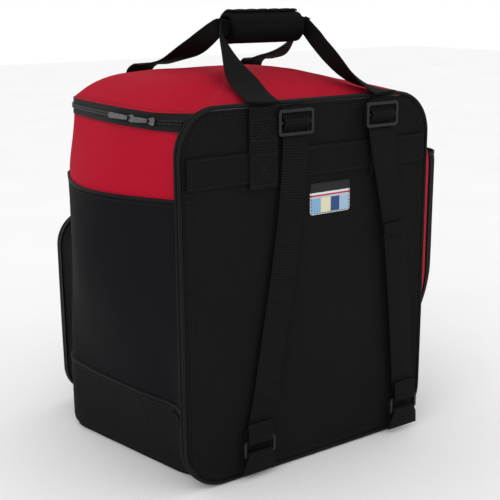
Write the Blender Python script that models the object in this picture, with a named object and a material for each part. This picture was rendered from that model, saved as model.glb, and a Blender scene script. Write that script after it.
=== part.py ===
"""Ski boot bag: a boxy fabric bag with a zipped lid, a front pocket, two carry handles and back straps.

Metres, +Z up. The origin is on the floor under the middle of the body. -Y is the harness side, which
lies on the wearer's back, +Y is the front with its pocket, and +X is to the right seen from the harness.
"""

from math import cos, pi, radians, sin, sqrt

import bmesh
import bpy
from mathutils import Vector

# Driving dimensions.
PANEL_WIDTH = 0.360
PANEL_TOP = 0.445
PANEL_BOTTOM = 0.006
PANEL_CORNER = 0.050
HARNESS_Y = -0.150
PANEL_DEPTH = 0.012
FRONT_Y = 0.150
FRONT_CORNER = 0.055
SEAM_BLEND = 0.050
SIDE_STEPS = (0.0, 0.004, 0.010, 0.018, 0.027, 0.038, 0.051, 0.067, 0.088, 0.112, 0.138, 0.168, 0.200)
LEFT_BELLY = 0.047
LEFT_BELLY_RUN = 0.270
RIGHT_BELLY = 0.060
RIGHT_BELLY_RUN = 0.050
FOOT_NARROWER = 0.028
FOOT_FLARE = 0.200
FOOT_WIDEST = 0.021
FOOT_FADE = 0.300
RIGHT_FOOT_FADE = 0.200
TOP_FADE = 0.100
TOP_BELLY_SHARE = 0.150
FOOT_RADIUS = 0.014
WEBBING = 0.040
WEBBING_THICK = 0.0022
FABRIC = 0.003
FIT_GAP = 0.0003
ZIP_HEIGHT = 0.4325
ZIP_TAPE = 0.0095
FLOOR_TOP = 0.003
GUARD_TOP = 0.100
WRAP_TOP = 0.346
GUARD_LEVELS = (0.0033, 0.008, 0.014, 0.022, 0.040, 0.070, 0.094)
WRAP_LEVELS = (0.1003, 0.140, 0.180, 0.220, 0.260, 0.304, 0.346)
UPPER_LEVELS = (0.370, 0.400, 0.423, 0.432)
LID_RISE = 0.032
GRIP_CENTRE = Vector((0.015, -0.025, 0.527))
GRIP_LENGTH = 0.108
GRIP_RADIUS = 0.019
NEAR_FEET = (-0.075, 0.105)
FAR_FEET = (-0.060, 0.125)
BUCKLE_HEIGHT = 0.426
LABEL_X = 0.0245
POCKET_WIDTH = 0.350
POCKET_BOTTOM = 0.008
POCKET_TOP = 0.275
POCKET_DEPTH = 0.042
POCKET_BULGE = 0.016

WALL_START_Y = HARNESS_Y + PANEL_DEPTH + FIT_GAP
HALF_WIDTH = PANEL_WIDTH / 2
PIPING = 0.0025


def material(name, colour, roughness, metallic=0.0):
    """One Principled material, with its colour given in linear light."""
    made = bpy.data.materials.new(name)
    made.use_nodes = True
    shader = made.node_tree.nodes["Principled BSDF"]
    shader.inputs["Base Color"].default_value = (*colour, 1.0)
    shader.inputs["Roughness"].default_value = roughness
    shader.inputs["Metallic"].default_value = metallic
    return made


def mesh_object(name, bm, finish, pivot=(0.0, 0.0, 0.0)):
    """Turn a bmesh in world space into an object with its origin at the pivot."""
    bmesh.ops.recalc_face_normals(bm, faces=bm.faces)
    bmesh.ops.translate(bm, verts=bm.verts, vec=-Vector(pivot))
    mesh = bpy.data.meshes.new(name)
    bm.to_mesh(mesh)
    bm.free()
    mesh.shade_smooth()
    mesh.set_sharp_from_angle(angle=radians(35))
    made = bpy.data.objects.new(name, mesh)
    made.location = pivot
    made.data.materials.append(finish)
    bpy.context.scene.collection.objects.link(made)
    return made


def loft_into(bm, rings, closed=False):
    """Bridge a row of rings of points into one body, capped at both ends unless it closes on itself."""
    rows = [[bm.verts.new(point) for point in ring] for ring in rings]
    count = len(rows[0])
    pairs = list(zip(rows, rows[1:] + rows[:1])) if closed else list(zip(rows, rows[1:]))
    for row, after in pairs:
        for i in range(count):
            a, b, c, d = row[i], row[(i + 1) % count], after[(i + 1) % count], after[i]
            split_ac = (a.co - c.co).length <= (b.co - d.co).length
            for face in ((a, b, c), (a, c, d)) if split_ac else ((a, b, d), (b, c, d)):
                bm.faces.new(face)
    if not closed:
        bm.faces.new(rows[0])
        bm.faces.new(rows[-1])


def loft(name, rings, finish, closed=False, pivot=(0.0, 0.0, 0.0)):
    """One object from a row of rings."""
    bm = bmesh.new()
    loft_into(bm, rings, closed)
    return mesh_object(name, bm, finish, pivot)


def rounded_rectangle(width, low, high, radius, steps=6):
    """Points (x, z) round an upright rectangle with rounded corners, anticlockwise from the lower right."""
    half = width / 2 - radius
    centres = ((half, low + radius), (half, high - radius), (-half, high - radius), (-half, low + radius))
    points = []
    for quarter, (x, z) in enumerate(centres):
        for step in range(steps + 1):
            angle = (quarter - 1) * pi / 2 + step * pi / 2 / steps
            points.append((x + radius * cos(angle), z + radius * sin(angle)))
    return points


def upright_plate(name, outline, near_y, far_y, finish, pivot=(0.0, 0.0, 0.0)):
    """A flat plate that stands in the XZ plane between two depths."""
    rings = [[(x, y, z) for x, z in outline] for y in (near_y, far_y)]
    return loft(name, rings, finish, pivot=pivot)


def tube_ring(name, outline, depth_y, radius, finish, sides=8):
    """A cord of round section that follows a closed upright outline."""
    count = len(outline)
    rings = []
    for i, (x, z) in enumerate(outline):
        before = Vector(outline[i - 1])
        after = Vector(outline[(i + 1) % count])
        along = (after - before).normalized()
        outwards = Vector((along.y, -along.x))
        ring = []
        for side in range(sides):
            angle = 2 * pi * side / sides
            out = radius * cos(angle)
            ring.append((x + outwards.x * out, depth_y + radius * sin(angle), z + outwards.y * out))
        rings.append(ring)
    return loft(name, rings, finish, closed=True)


def wall_stations(arc_steps=6, front_steps=4):
    """Plan outline of the walls as (x, y, outward x, outward y), from the left, round the front, to the right."""
    straight_end = FRONT_Y - FRONT_CORNER
    arc_x = HALF_WIDTH - FRONT_CORNER
    left = [(-HALF_WIDTH, WALL_START_Y + step, -1.0, 0.0) for step in SIDE_STEPS]
    for step in range(arc_steps):
        angle = pi - step * pi / 2 / arc_steps
        out = (cos(angle), sin(angle))
        left.append((-arc_x + FRONT_CORNER * out[0], straight_end + FRONT_CORNER * out[1], *out))
    middle = [(-arc_x + 2 * arc_x * step / front_steps, FRONT_Y, 0.0, 1.0) for step in range(front_steps + 1)]
    right = [(-x, y, -out_x, out_y) for x, y, out_x, out_y in reversed(left)]
    return left + middle + right


def belly(station, height):
    """How far the stuffed walls stand out from their plan line: fullest half way up, drawn in at the harness foot."""
    x, y, out_x, out_y = station
    run = y - WALL_START_Y
    if x > 0:
        steep = 1.0 - (1.0 - min(run / RIGHT_BELLY_RUN, 1.0)) ** 2
        fade = 0.5 * (1.0 + cos(pi * min(max(run - 0.120, 0.0) / 0.180, 1.0)))
        middle = RIGHT_BELLY * steep * fade
        foot_fade = RIGHT_FOOT_FADE
    else:
        middle = LEFT_BELLY * sin(pi * min(run / LEFT_BELLY_RUN, 1.0))
        foot_fade = FOOT_FADE
    foot = min(FOOT_FLARE * run - FOOT_NARROWER, FOOT_WIDEST) * (1.0 - seam_share(y))
    down = min(max((PANEL_TOP - height) / TOP_FADE, 0.0), 1.0)
    top_share = TOP_BELLY_SHARE + (1.0 - TOP_BELLY_SHARE) * down * down * (3.0 - 2.0 * down)
    foot_share = 0.5 * (1.0 + cos(pi * min(height / foot_fade, 1.0)))
    return (top_share * middle * (1.0 - foot_share) + foot * foot_share) * abs(out_x)


def seam_share(y):
    """1 at the harness seam, falling to 0 where the walls are free of the panel's outline."""
    return max(0.0, 1.0 - (y - WALL_START_Y) / SEAM_BLEND) ** 2


def skin(station, height, offset=0.0):
    """A point on the walls, offset outwards: flush with the rounded panel at its seam, bellied beyond it."""
    x, y, out_x, out_y = station
    near_seam = seam_share(y)
    low = PANEL_BOTTOM + PANEL_CORNER - height
    high = height - (PANEL_TOP - PANEL_CORNER)
    reach = min(max(low, high, 0.0), PANEL_CORNER)
    pulled_in = PANEL_CORNER - sqrt(PANEL_CORNER**2 - reach**2)
    foot_reach = min(max(FOOT_RADIUS - height, 0.0), FOOT_RADIUS)
    rounding = FOOT_RADIUS - sqrt(FOOT_RADIUS**2 - foot_reach**2)
    out = offset + belly(station, height) - rounding * (1.0 - near_seam) - pulled_in * near_seam
    return Vector((x + out_x * out, y + out_y * out, height))


def band(name, stations, levels, outer, inner, finish):
    """A strip of wall through the stations, between two offsets from the skin."""
    rings = []
    for station in stations:
        ring = [skin(station, z, outer) for z in levels]
        ring += [skin(station, z, inner) for z in reversed(levels)]
        rings.append(ring)
    return loft(name, rings, finish)


def dome(name, lower_rim, upper_rim, centre, rise, thickness, finish, pivot=(0.0, 0.0, 0.0)):
    """A crowned shell of even thickness over a closed rim."""
    rise = Vector(rise)
    under = rise.normalized() * thickness
    shares = (0.05, 0.14, 0.30, 0.52, 0.76, 0.95)

    def ring(share, drop):
        crown = rise * (1.0 - (1.0 - share) ** 2.4)
        return [point.lerp(centre, share) + crown - drop for point in upper_rim]

    inner_rim = [point.lerp(centre, 0.02) for point in lower_rim]
    rings = [ring(share, under) for share in reversed(shares)]
    rings += [inner_rim, lower_rim, upper_rim]
    rings += [ring(share, Vector()) for share in shares]
    return loft(name, rings, finish, pivot=pivot)


def ribbon_into(bm, points, sides, widths, thickness):
    """A flat strap through the points; sides are the directions across its width."""
    count = len(points)
    rings = []
    for i, point in enumerate(points):
        along = points[min(i + 1, count - 1)] - points[max(i - 1, 0)]
        across = sides[i] - along * (sides[i].dot(along) / along.length_squared)
        across = across.normalized() * widths[i] / 2
        normal = along.cross(across).normalized() * thickness / 2
        rings.append([point + across + normal, point - across + normal, point - across - normal,
                      point + across - normal])
    loft_into(bm, rings)


def ribbon(name, points, finish, side=Vector((1.0, 0.0, 0.0)), width=WEBBING, thickness=WEBBING_THICK,
           pivot=(0.0, 0.0, 0.0)):
    """A strap of even width whose width runs one way."""
    bm = bmesh.new()
    ribbon_into(bm, points, [side] * len(points), [width] * len(points), thickness)
    return mesh_object(name, bm, finish, pivot)


def box(name, low, high, finish, pivot=(0.0, 0.0, 0.0)):
    """A block between two corners."""
    outline = ((low[0], low[2]), (high[0], low[2]), (high[0], high[2]), (low[0], high[2]))
    return upright_plate(name, outline, low[1], high[1], finish, pivot)


def harness_panel():
    """The padded back panel: cover, foam, lining, and the two pipings of its edge seams."""
    layers = (
        ("harness_panel", 0.0, 0.0030, BLACK_FABRIC),
        ("back_foam", 0.0033, 0.0100, FOAM),
        ("back_lining", 0.0103, PANEL_DEPTH, LINING),
    )
    outline = rounded_rectangle(PANEL_WIDTH, PANEL_BOTTOM, PANEL_TOP, PANEL_CORNER)
    for name, near, far, finish in layers:
        upright_plate(name, outline, HARNESS_Y + near, HARNESS_Y + far, finish)
    proud = PIPING + FIT_GAP
    seam_line = rounded_rectangle(PANEL_WIDTH + 2 * proud, PANEL_BOTTOM - proud, PANEL_TOP + proud,
                                  PANEL_CORNER + proud)
    tube_ring("panel_piping_outer", seam_line, HARNESS_Y + PIPING, PIPING, PIPING_BLACK)
    tube_ring("panel_piping_inner", seam_line, HARNESS_Y + PANEL_DEPTH - PIPING, PIPING, PIPING_BLACK)


def walls():
    """Red side shell, the black outer layer sewn over it, the base guard and the floor."""
    round_whole = wall_stations()
    shell_levels = GUARD_LEVELS + WRAP_LEVELS + UPPER_LEVELS
    band("side_shell", round_whole, shell_levels, 0.0, -FABRIC, RED_FABRIC)
    wrap_out = FIT_GAP + 0.002
    left_and_front = [st for st in round_whole if st[0] < HALF_WIDTH - 0.005]
    binding_levels = (WRAP_TOP + FIT_GAP, WRAP_TOP + 0.004)
    band("outer_wrap", left_and_front, WRAP_LEVELS, wrap_out, FIT_GAP, BLACK_NYLON)
    band("wrap_binding", left_and_front, binding_levels, wrap_out, FIT_GAP, PIPING_BLACK)
    guard_out = FIT_GAP + 0.003
    binding_levels = (GUARD_TOP - 0.006 + FIT_GAP, GUARD_TOP)
    band("base_guard", round_whole, GUARD_LEVELS, guard_out, FIT_GAP, GUARD_FABRIC)
    band("guard_binding", round_whole, binding_levels, guard_out + 0.0005, FIT_GAP, PIPING_BLACK)
    wall_foot = GUARD_LEVELS[0]
    floor_rim = [skin(st, wall_foot, guard_out) for st in round_whole]
    floor_rings = [[(p.x, p.y, z) for p in floor_rim] for z in (0.0, FLOOR_TOP)]
    loft("base_panel", floor_rings, GUARD_FABRIC)
    board_rim = [skin(st, wall_foot, -0.009) for st in round_whole]
    board_rings = [[(p.x, max(p.y, WALL_START_Y + 0.003), z) for p in board_rim] for z in (wall_foot, 0.0063)]
    loft("base_board", board_rings, BOARD)
    tab_stations = [(-HALF_WIDTH, WALL_START_Y + 0.010 + 0.006 * step, -1.0, 0.0) for step in range(5)]
    band("guard_tab", tab_stations, (0.034, 0.040, 0.070, 0.090), guard_out + 0.0024, guard_out + 0.0006,
         WEBBING_BLACK)


def side_pocket():
    """The open-topped pocket on the right side, set back from the harness seam, with its bound rim."""
    back_y = WALL_START_Y + 0.026
    front_y = FRONT_Y - FRONT_CORNER - 0.003
    levels = [0.103, 0.12, 0.15, 0.18, 0.22, 0.26, 0.30, 0.33, 0.355]
    steps = 14
    base = FIT_GAP + 0.0003
    rings = []
    for step in range(steps + 1):
        share = step / steps
        y = back_y + (front_y - back_y) * share
        station = (HALF_WIDTH, y, 1.0, 0.0)
        fullness = sin(pi * share) ** 0.45 if 0 < step < steps else 0.0
        outer = []
        inner = []
        for z in levels:
            rise = (z - levels[0]) / (levels[-1] - levels[0])
            depth = 0.020 * fullness * (0.25 + 0.75 * sin(pi * min(0.5, rise * 0.9)))
            outer.append(skin(station, z, base + 0.0025 + depth))
            inner.append(skin(station, z, base + depth * 0.97))
        rings.append((outer, inner))
    pocket_rings = [outer + inner[::-1] for outer, inner in rings]
    loft("side_pocket", pocket_rings, BLACK_NYLON)
    rim_low = levels[-1] + FIT_GAP
    rim_rings = []
    for outer, inner in rings:
        top_out = outer[-1] + Vector((0.0004, 0.0, 0.0))
        top_in = inner[-1]
        rim_rings.append([Vector((p.x, p.y, z)) for z, p in
                          ((rim_low, top_out), (rim_low + 0.006, top_out), (rim_low + 0.006, top_in),
                           (rim_low, top_in))])
    loft("side_pocket_binding", rim_rings, PIPING_BLACK)


def lid():
    """The domed lid that hinges on the top edge of the harness panel."""
    stations = wall_stations()
    low = ZIP_HEIGHT + 0.0005
    high = ZIP_HEIGHT + ZIP_TAPE
    lower = [skin(st, low) for st in stations]
    upper = [skin(st, high) for st in stations]
    steps = 8
    for step in range(1, steps):
        share = 1 - 2 * step / steps
        for rim, level, drop in ((lower, low, 0.004), (upper, high, 0.0)):
            x = skin(stations[-1], level).x * share
            past = max(abs(x) - (HALF_WIDTH - PANEL_CORNER), 0.0)
            arc = PANEL_TOP - PANEL_CORNER + sqrt(PANEL_CORNER**2 - past**2)
            rim.append(Vector((x, WALL_START_Y, arc - drop)))
    centre = Vector((0.0, 0.0, ZIP_HEIGHT + ZIP_TAPE + 0.002))
    dome("lid", lower, upper, centre, (0.0, 0.0, LID_RISE), FABRIC, RED_FABRIC, pivot=LID_AXIS)


def zip_half(name, stations, mating, outer_edge, finish, pivot=(0.0, 0.0, 0.0)):
    """Half a zip: a flat tape with the round half coil along its mating edge."""
    towards = 1.0 if mating > outer_edge else -1.0
    coil = 0.0022
    profile = (
        (outer_edge, FIT_GAP),
        (outer_edge, FIT_GAP + 0.0010),
        (mating - towards * coil, FIT_GAP + 0.0010),
        (mating - towards * coil, FIT_GAP + 0.0020),
        (mating - towards * 0.0006, FIT_GAP + 0.0024),
        (mating, FIT_GAP + 0.0014),
        (mating, FIT_GAP),
    )
    rings = [[skin(st, z, out) for z, out in profile] for st in stations]
    return loft(name, rings, finish, pivot=pivot)


def zip_frame(y, offset):
    """A place on the left run of the lid zip, with the directions along it, outwards and up."""
    here = (-HALF_WIDTH, y, -1.0, 0.0)
    ahead = (-HALF_WIDTH, y + 0.004, -1.0, 0.0)
    origin = skin(here, ZIP_HEIGHT, offset)
    along = (skin(ahead, ZIP_HEIGHT, offset) - origin).normalized()
    up = (skin(here, ZIP_HEIGHT + 0.004, offset) - origin).normalized()
    outwards = up.cross(along).normalized()
    if outwards.x > 0:
        outwards = -outwards
    return origin, along, outwards, up


def shaped_plate(name, frame, outline, near, far, finish, pivot):
    """A plate whose outline (along, up) lies against the zip, between two heights off it."""
    origin, along, outwards, up = frame
    rings = [[origin + along * a + up * u + outwards * out for a, u in outline] for out in (near, far)]
    return loft(name, rings, finish, pivot=pivot)


def lid_zip():
    """Both zip halves round the lid, with two sliders at the left and a puller lying along the zip from each."""
    stations = wall_stations()[1:-1]
    gap = FIT_GAP
    zip_half("lid_zip_lower", stations, ZIP_HEIGHT - gap, ZIP_HEIGHT - ZIP_TAPE, ZIP_BLACK)
    zip_half("lid_zip_upper", stations, ZIP_HEIGHT + gap, ZIP_HEIGHT + ZIP_TAPE, ZIP_BLACK, pivot=LID_AXIS)
    body = ((-0.006, -0.0035), (-0.003, -0.0045), (0.004, -0.003), (0.006, 0.0), (0.004, 0.003),
            (-0.003, 0.0045), (-0.006, 0.0035))
    for name, y, length in SLIDERS:
        frame = zip_frame(y, 0.0032)
        origin, along, outwards, up = frame
        shaped_plate("lid_slider_" + name, frame, body, 0.0, 0.0022, METAL, origin)
        reach = PULLER_HINGE + length
        tail = PULLER_HINGE - 0.0008
        tab = ((tail, -0.0022), (tail + 0.009, -0.0026), (reach - 0.003, -0.0034), (reach, -0.002), (reach, 0.002),
               (reach - 0.003, 0.0034), (tail + 0.009, 0.0026), (tail, 0.0022))
        pivot = origin + along * PULLER_HINGE + outwards * 0.0034
        shaped_plate("lid_puller_" + name, frame, tab, 0.0026, 0.0042, METAL, pivot)


def wall_front_y(x, z, offset):
    """How far forward the front of the walls stands at this place, by following their outline at that height."""
    line = [skin(station, z, offset) for station in wall_stations(arc_steps=16, front_steps=8) if station[1] > 0.05]
    for before, after in zip(line, line[1:]):
        if before.x <= x <= after.x:
            return before.lerp(after, (x - before.x) / (after.x - before.x)).y
    return line[0].y


def front_pocket():
    """The bellows of the front pocket, its zip, and the face that folds down."""
    far = FRONT_Y + 0.0058 + POCKET_DEPTH
    outer = rounded_rectangle(POCKET_WIDTH, POCKET_BOTTOM, POCKET_TOP, 0.045)
    inner = rounded_rectangle(POCKET_WIDTH - 0.005, POCKET_BOTTOM + 0.0025, POCKET_TOP - 0.0025, 0.0425)
    outer_seam, inner_seam = [[(x, wall_front_y(x, z, 0.0058), z) for x, z in line] for line in (outer, inner)]
    rings = [outer_seam] + [[(x, far, z) for x, z in line] for line in (outer, inner)] + [inner_seam]
    loft("pocket_bellows", rings, BLACK_NYLON, closed=True)
    proud = 0.0015
    tape_out = rounded_rectangle(POCKET_WIDTH + 2 * proud + 0.0006, POCKET_BOTTOM - proud - 0.0003,
                                 POCKET_TOP + proud + 0.0003, 0.0468)
    tape_in = rounded_rectangle(POCKET_WIDTH + 0.0006, POCKET_BOTTOM - 0.0003, POCKET_TOP + 0.0003, 0.0453)
    rings = [[(x, y, z) for x, z in line]
             for line, y in ((tape_out, far - 0.010), (tape_out, far), (tape_in, far), (tape_in, far - 0.010))]
    loft("pocket_zip", rings, ZIP_BLACK, closed=True)
    face_near = far + FIT_GAP
    lower = [Vector((x, face_near, z)) for x, z in outer]
    upper = [Vector((x, face_near + 0.0025, z)) for x, z in outer]
    centre = Vector((0.0, face_near + 0.0025, (POCKET_BOTTOM + POCKET_TOP) / 2))
    dome("pocket_face", lower, upper, centre, (0.0, POCKET_BULGE, 0.0), 0.0025, BLACK_NYLON, pivot=POCKET_AXIS)
    slide_z = POCKET_TOP + proud + 0.0006
    slider_y = far - 0.004
    bm = bmesh.new()
    outline = ((0.090, slider_y - 0.0045), (0.102, slider_y - 0.003), (0.102, slider_y + 0.0025),
               (0.090, slider_y + 0.004))
    loft_into(bm, [[(x, y, z) for x, y in outline] for z in (slide_z, slide_z + 0.0022)])
    mesh_object("pocket_slider", bm, METAL, (0.096, slider_y, slide_z))
    pull_low = slide_z + 0.0026
    bm = bmesh.new()
    outline = ((0.058, slider_y - 0.0030), (0.094, slider_y - 0.0020), (0.094, slider_y + 0.0020),
               (0.058, slider_y + 0.0030))
    loft_into(bm, [[(x, y, z) for x, y in outline] for z in (pull_low, pull_low + 0.0016)])
    mesh_object("pocket_puller", bm, METAL, POCKET_PULL_AXIS)


def handle(name, pivot, foot_x, rise, knee_out, grip_y, sag, finish):
    """A carry handle: two webbing legs that narrow and turn into the flat run inside the grip."""
    flat = 0.020
    legs = []
    for side, x in zip((-1, 1), foot_x):
        knee = Vector((x, pivot[1] + knee_out, pivot[2] + rise))
        inside = Vector((GRIP_CENTRE.x + side * (GRIP_LENGTH / 2 + 0.001), grip_y, GRIP_CENTRE.z))
        grip_end = inside + Vector((side * 0.011, 0.0, 0.0))
        leg = [(Vector((x, pivot[1] + knee_out * share, pivot[2] + rise * share)), 0.0, WEBBING)
               for share in ((0.0, 0.5, 0.92) if rise else ())]
        for share in (0.06 if rise else 0.0, 0.25, 0.50, 0.74, 0.88):
            low = Vector((0.0, 0.0, -sag)) * sin(pi * share)
            turn = max(0.0, 2 * share - 1)
            leg.append((knee.lerp(grip_end, share) + low, turn * 0.75, WEBBING + (flat - WEBBING) * turn))
        leg.append((grip_end + Vector((-0.003 * side, 0.0, 0.001)), 0.90, flat + 0.001))
        leg.append((inside, 1.0, flat))
        legs.append(leg)
    left, right = legs
    line = left + right[::-1]
    sides = [Vector((twist - 1.0, 0.0, twist)).normalized() for point, twist, width in left]
    sides += [Vector((1.0 - twist, 0.0, twist)).normalized() for point, twist, width in reversed(right)]
    bm = bmesh.new()
    ribbon_into(bm, [point for point, twist, width in line], sides, [width for point, twist, width in line],
                WEBBING_THICK)
    return mesh_object(name, bm, finish, pivot)


def handle_anchors():
    """The sewn-down ends of both handles' webbing."""
    near_y = HARNESS_Y - 0.0036
    far_y = FRONT_Y + 0.0042
    for side, near_x, far_x in (("left", NEAR_FEET[0], FAR_FEET[0]), ("right", NEAR_FEET[1], FAR_FEET[1])):
        near = [Vector((near_x, near_y, z)) for z in (0.353, 0.435)] + [Vector((near_x, near_y - 0.0010, 0.4455))]
        ribbon("near_anchor_" + side, near, WEBBING_BLACK)
        far = [Vector((far_x, far_y, z)) for z in (0.300, FAR_AXIS[2] - 0.002)]
        ribbon("far_anchor_" + side, far, WEBBING_BLACK)


def grip():
    """The padded wrap sewn to the near handle, open towards the front, and the flap that closes it."""
    outer = GRIP_RADIUS
    inner = 0.0135
    half = GRIP_LENGTH / 2
    mouth = radians(48)
    arc = [mouth + (2 * pi - 2 * mouth) * i / 14 for i in range(15)]
    outside = [(outer * cos(a), outer * sin(a)) for a in arc]
    mouth_y = outer * cos(mouth)
    inside = [(mouth_y, -inner)]
    inside += [(-0.0068, -inner), (-0.0068, inner)]
    inside += [(mouth_y, inner)]
    rings = []
    for x, squeeze in ((-half, 0.975), (-half + 0.004, 1.0), (half - 0.004, 1.0), (half, 0.975)):
        x += GRIP_CENTRE.x
        ring = [(x, GRIP_CENTRE.y + y * squeeze, GRIP_CENTRE.z + z * squeeze) for y, z in outside]
        ring += [(x, GRIP_CENTRE.y + min(y, mouth_y * squeeze), GRIP_CENTRE.z + z) for y, z in inside]
        rings.append(ring)
    loft("grip_wrap", rings, GRIP_FABRIC, pivot=NEAR_AXIS)
    flap_in = outer + 0.0006
    flap_out = flap_in + 0.0022
    flap_arc = [radians(108 - 170 * i / 12) for i in range(13)]
    section = [(flap_out * cos(a), flap_out * sin(a)) for a in flap_arc]
    section += [(flap_in * cos(a), flap_in * sin(a)) for a in reversed(flap_arc)]
    flap_half = half - 0.004
    rings = [[(x, GRIP_CENTRE.y + y, GRIP_CENTRE.z + z) for y, z in section]
             for x in (GRIP_CENTRE.x - flap_half, GRIP_CENTRE.x + flap_half)]
    loft("grip_flap", rings, GRIP_FABRIC, pivot=FLAP_AXIS)


def harness_fittings():
    """The ribbed band across the panel and the plain maker's patch."""
    face = HARNESS_Y - FIT_GAP
    box("trolley_band", (-HALF_WIDTH + 0.004, face - 0.0018, 0.360), (HALF_WIDTH - 0.004, face, 0.396), WEBBING_BLACK)
    patch = rounded_rectangle(0.061, 0.312, 0.350, 0.004, steps=3)
    upright_plate("label_patch", [(x + LABEL_X, z) for x, z in patch], face - 0.001, face, LABEL)


def frame_ring(name, centre, width, height, bar, thick, finish, cross_bar=False):
    """A flat rectangular ring, or a slider buckle when it has a bar across the middle."""
    bm = bmesh.new()
    x, y, z = centre
    depth = (y - thick / 2, y + thick / 2)
    corner = 0.004
    outer = rounded_rectangle(width, -height / 2, height / 2, corner, steps=3)
    hole = rounded_rectangle(width - 2 * bar, -height / 2 + bar, height / 2 - bar, 0.0015, steps=3)
    rings = [[(x + px, py, z + pz) for px, pz in line]
             for line, py in ((outer, depth[0]), (outer, depth[1]), (hole, depth[1]), (hole, depth[0]))]
    loft_into(bm, rings, closed=True)
    made = mesh_object(name, bm, finish)
    if cross_bar:
        bar_half = width / 2 - bar * 0.5
        cross = box(name + "_bar", (x - bar_half, depth[0] + 0.0004, z - bar * 0.45),
                    (x + bar_half, depth[1] - 0.0004, z + bar * 0.45), finish)
        cross.hide_render = True
        cross.display_type = "WIRE"
        union = made.modifiers.new("cross bar", "BOOLEAN")
        union.operation = "UNION"
        union.object = cross
    return made


def shoulder_strap(side, line, lowest_y):
    """One shoulder strap with its slider buckle at the top, its ring at the bottom and the ring's fabric tab."""
    width = 0.036
    ring_z = 0.040
    bar = 0.0035
    buckle_y = lowest_y - 0.0005
    weave = 0.0032
    top_x = line[0][0]
    end_x = line[-1][0]
    points = []
    for above, shift in ((0.0175, 0.0042), (0.0135, weave), (0.0095, weave), (0.0055, 0.0006), (0.0025, -weave),
                         (-0.0025, -weave), (-0.0055, 0.0006), (-0.0095, weave), (-0.0140, weave),
                         (-0.025, 0.001)):
        points.append(Vector((top_x, buckle_y + shift, BUCKLE_HEIGHT + above)))
    for x, z in line[1:-1]:
        points.append(Vector((x, lowest_y + 0.0006, z)))
    bar_z = ring_z + 0.0110 - bar / 2
    turn = 0.0038
    back_y = lowest_y + turn
    points.append(Vector((end_x, back_y - 0.001, bar_z + 0.012)))
    points.append(Vector((end_x, back_y, bar_z + 0.003)))
    for step in range(5):
        angle = step * pi / 4
        points.append(Vector((end_x, lowest_y + turn * cos(angle), bar_z - turn * sin(angle))))
    points.append(Vector((end_x, lowest_y - turn, bar_z + 0.006)))
    points.append(Vector((end_x, lowest_y - turn * 0.8, bar_z + 0.024)))
    ribbon("shoulder_strap_" + side, points, WEBBING_BLACK, width=width, thickness=0.0018)
    frame_ring("strap_buckle_" + side, (top_x, buckle_y, BUCKLE_HEIGHT), 0.050, 0.030, 0.0035, 0.0030, BUCKLE, True)
    frame_ring("strap_ring_" + side, (end_x, lowest_y, ring_z), 0.046, 0.022, bar, 0.0035, BUCKLE)
    low_bar = ring_z - 0.0110 + bar / 2
    tab = [Vector((end_x, lowest_y - turn * 0.2, 0.0075)), Vector((end_x, lowest_y - turn, low_bar - 0.006))]
    for step in range(5):
        angle = pi - step * pi / 4
        tab.append(Vector((end_x, lowest_y + turn * cos(angle), low_bar + turn * sin(angle))))
    tab.append(Vector((end_x, lowest_y + turn * 0.9, low_bar - 0.008)))
    bm = bmesh.new()
    widths = [0.050, 0.042] + [width] * 5 + [0.040]
    ribbon_into(bm, tab, [Vector((1.0, 0.0, 0.0))] * len(tab), widths, 0.0016)
    mesh_object("strap_tab_" + side, bm, BLACK_FABRIC)


for leftover in list(bpy.data.objects):
    bpy.data.objects.remove(leftover, do_unlink=True)

RED_FABRIC = material("red polyester", (0.430, 0.011, 0.026), 0.75)
BLACK_FABRIC = material("black polyester", (0.010, 0.010, 0.010), 0.80)
BLACK_NYLON = material("black nylon", (0.012, 0.011, 0.013), 0.60)
GUARD_FABRIC = material("coated base fabric", (0.012, 0.012, 0.012), 0.55)
WEBBING_BLACK = material("black webbing", (0.012, 0.012, 0.012), 0.70)
PIPING_BLACK = material("black piping", (0.014, 0.014, 0.014), 0.55)
ZIP_BLACK = material("black zip", (0.013, 0.013, 0.013), 0.45)
GRIP_FABRIC = material("grip fabric", (0.008, 0.008, 0.008), 0.75)
FOAM = material("foam", (0.25, 0.25, 0.25), 0.90)
LINING = material("lining", (0.05, 0.05, 0.05), 0.80)
BOARD = material("base board", (0.03, 0.03, 0.03), 0.70)
BUCKLE = material("black acetal", (0.012, 0.012, 0.012), 0.35)
METAL = material("zip metal", (0.35, 0.35, 0.36), 0.35, 1.0)
LABEL = material("label", (0.55, 0.56, 0.58), 0.50)

LID_AXIS = (0.0, WALL_START_Y, PANEL_TOP)
NEAR_AXIS = (0.0, HARNESS_Y - 0.0055, 0.4505)
FAR_AXIS = (0.0, FRONT_Y + 0.0060, 0.356)
FLAP_AXIS = (0.0, GRIP_CENTRE.y - 0.0061, GRIP_CENTRE.z + 0.0204)
POCKET_AXIS = (0.0, FRONT_Y + 0.0058 + POCKET_DEPTH, POCKET_BOTTOM)
POCKET_PULL_AXIS = (0.094, FRONT_Y + POCKET_DEPTH + 0.0018, POCKET_TOP + 0.0055)
PULLER_HINGE = 0.005
SLIDERS = (("rear", -0.099, 0.026), ("front", -0.060, 0.040))

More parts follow.
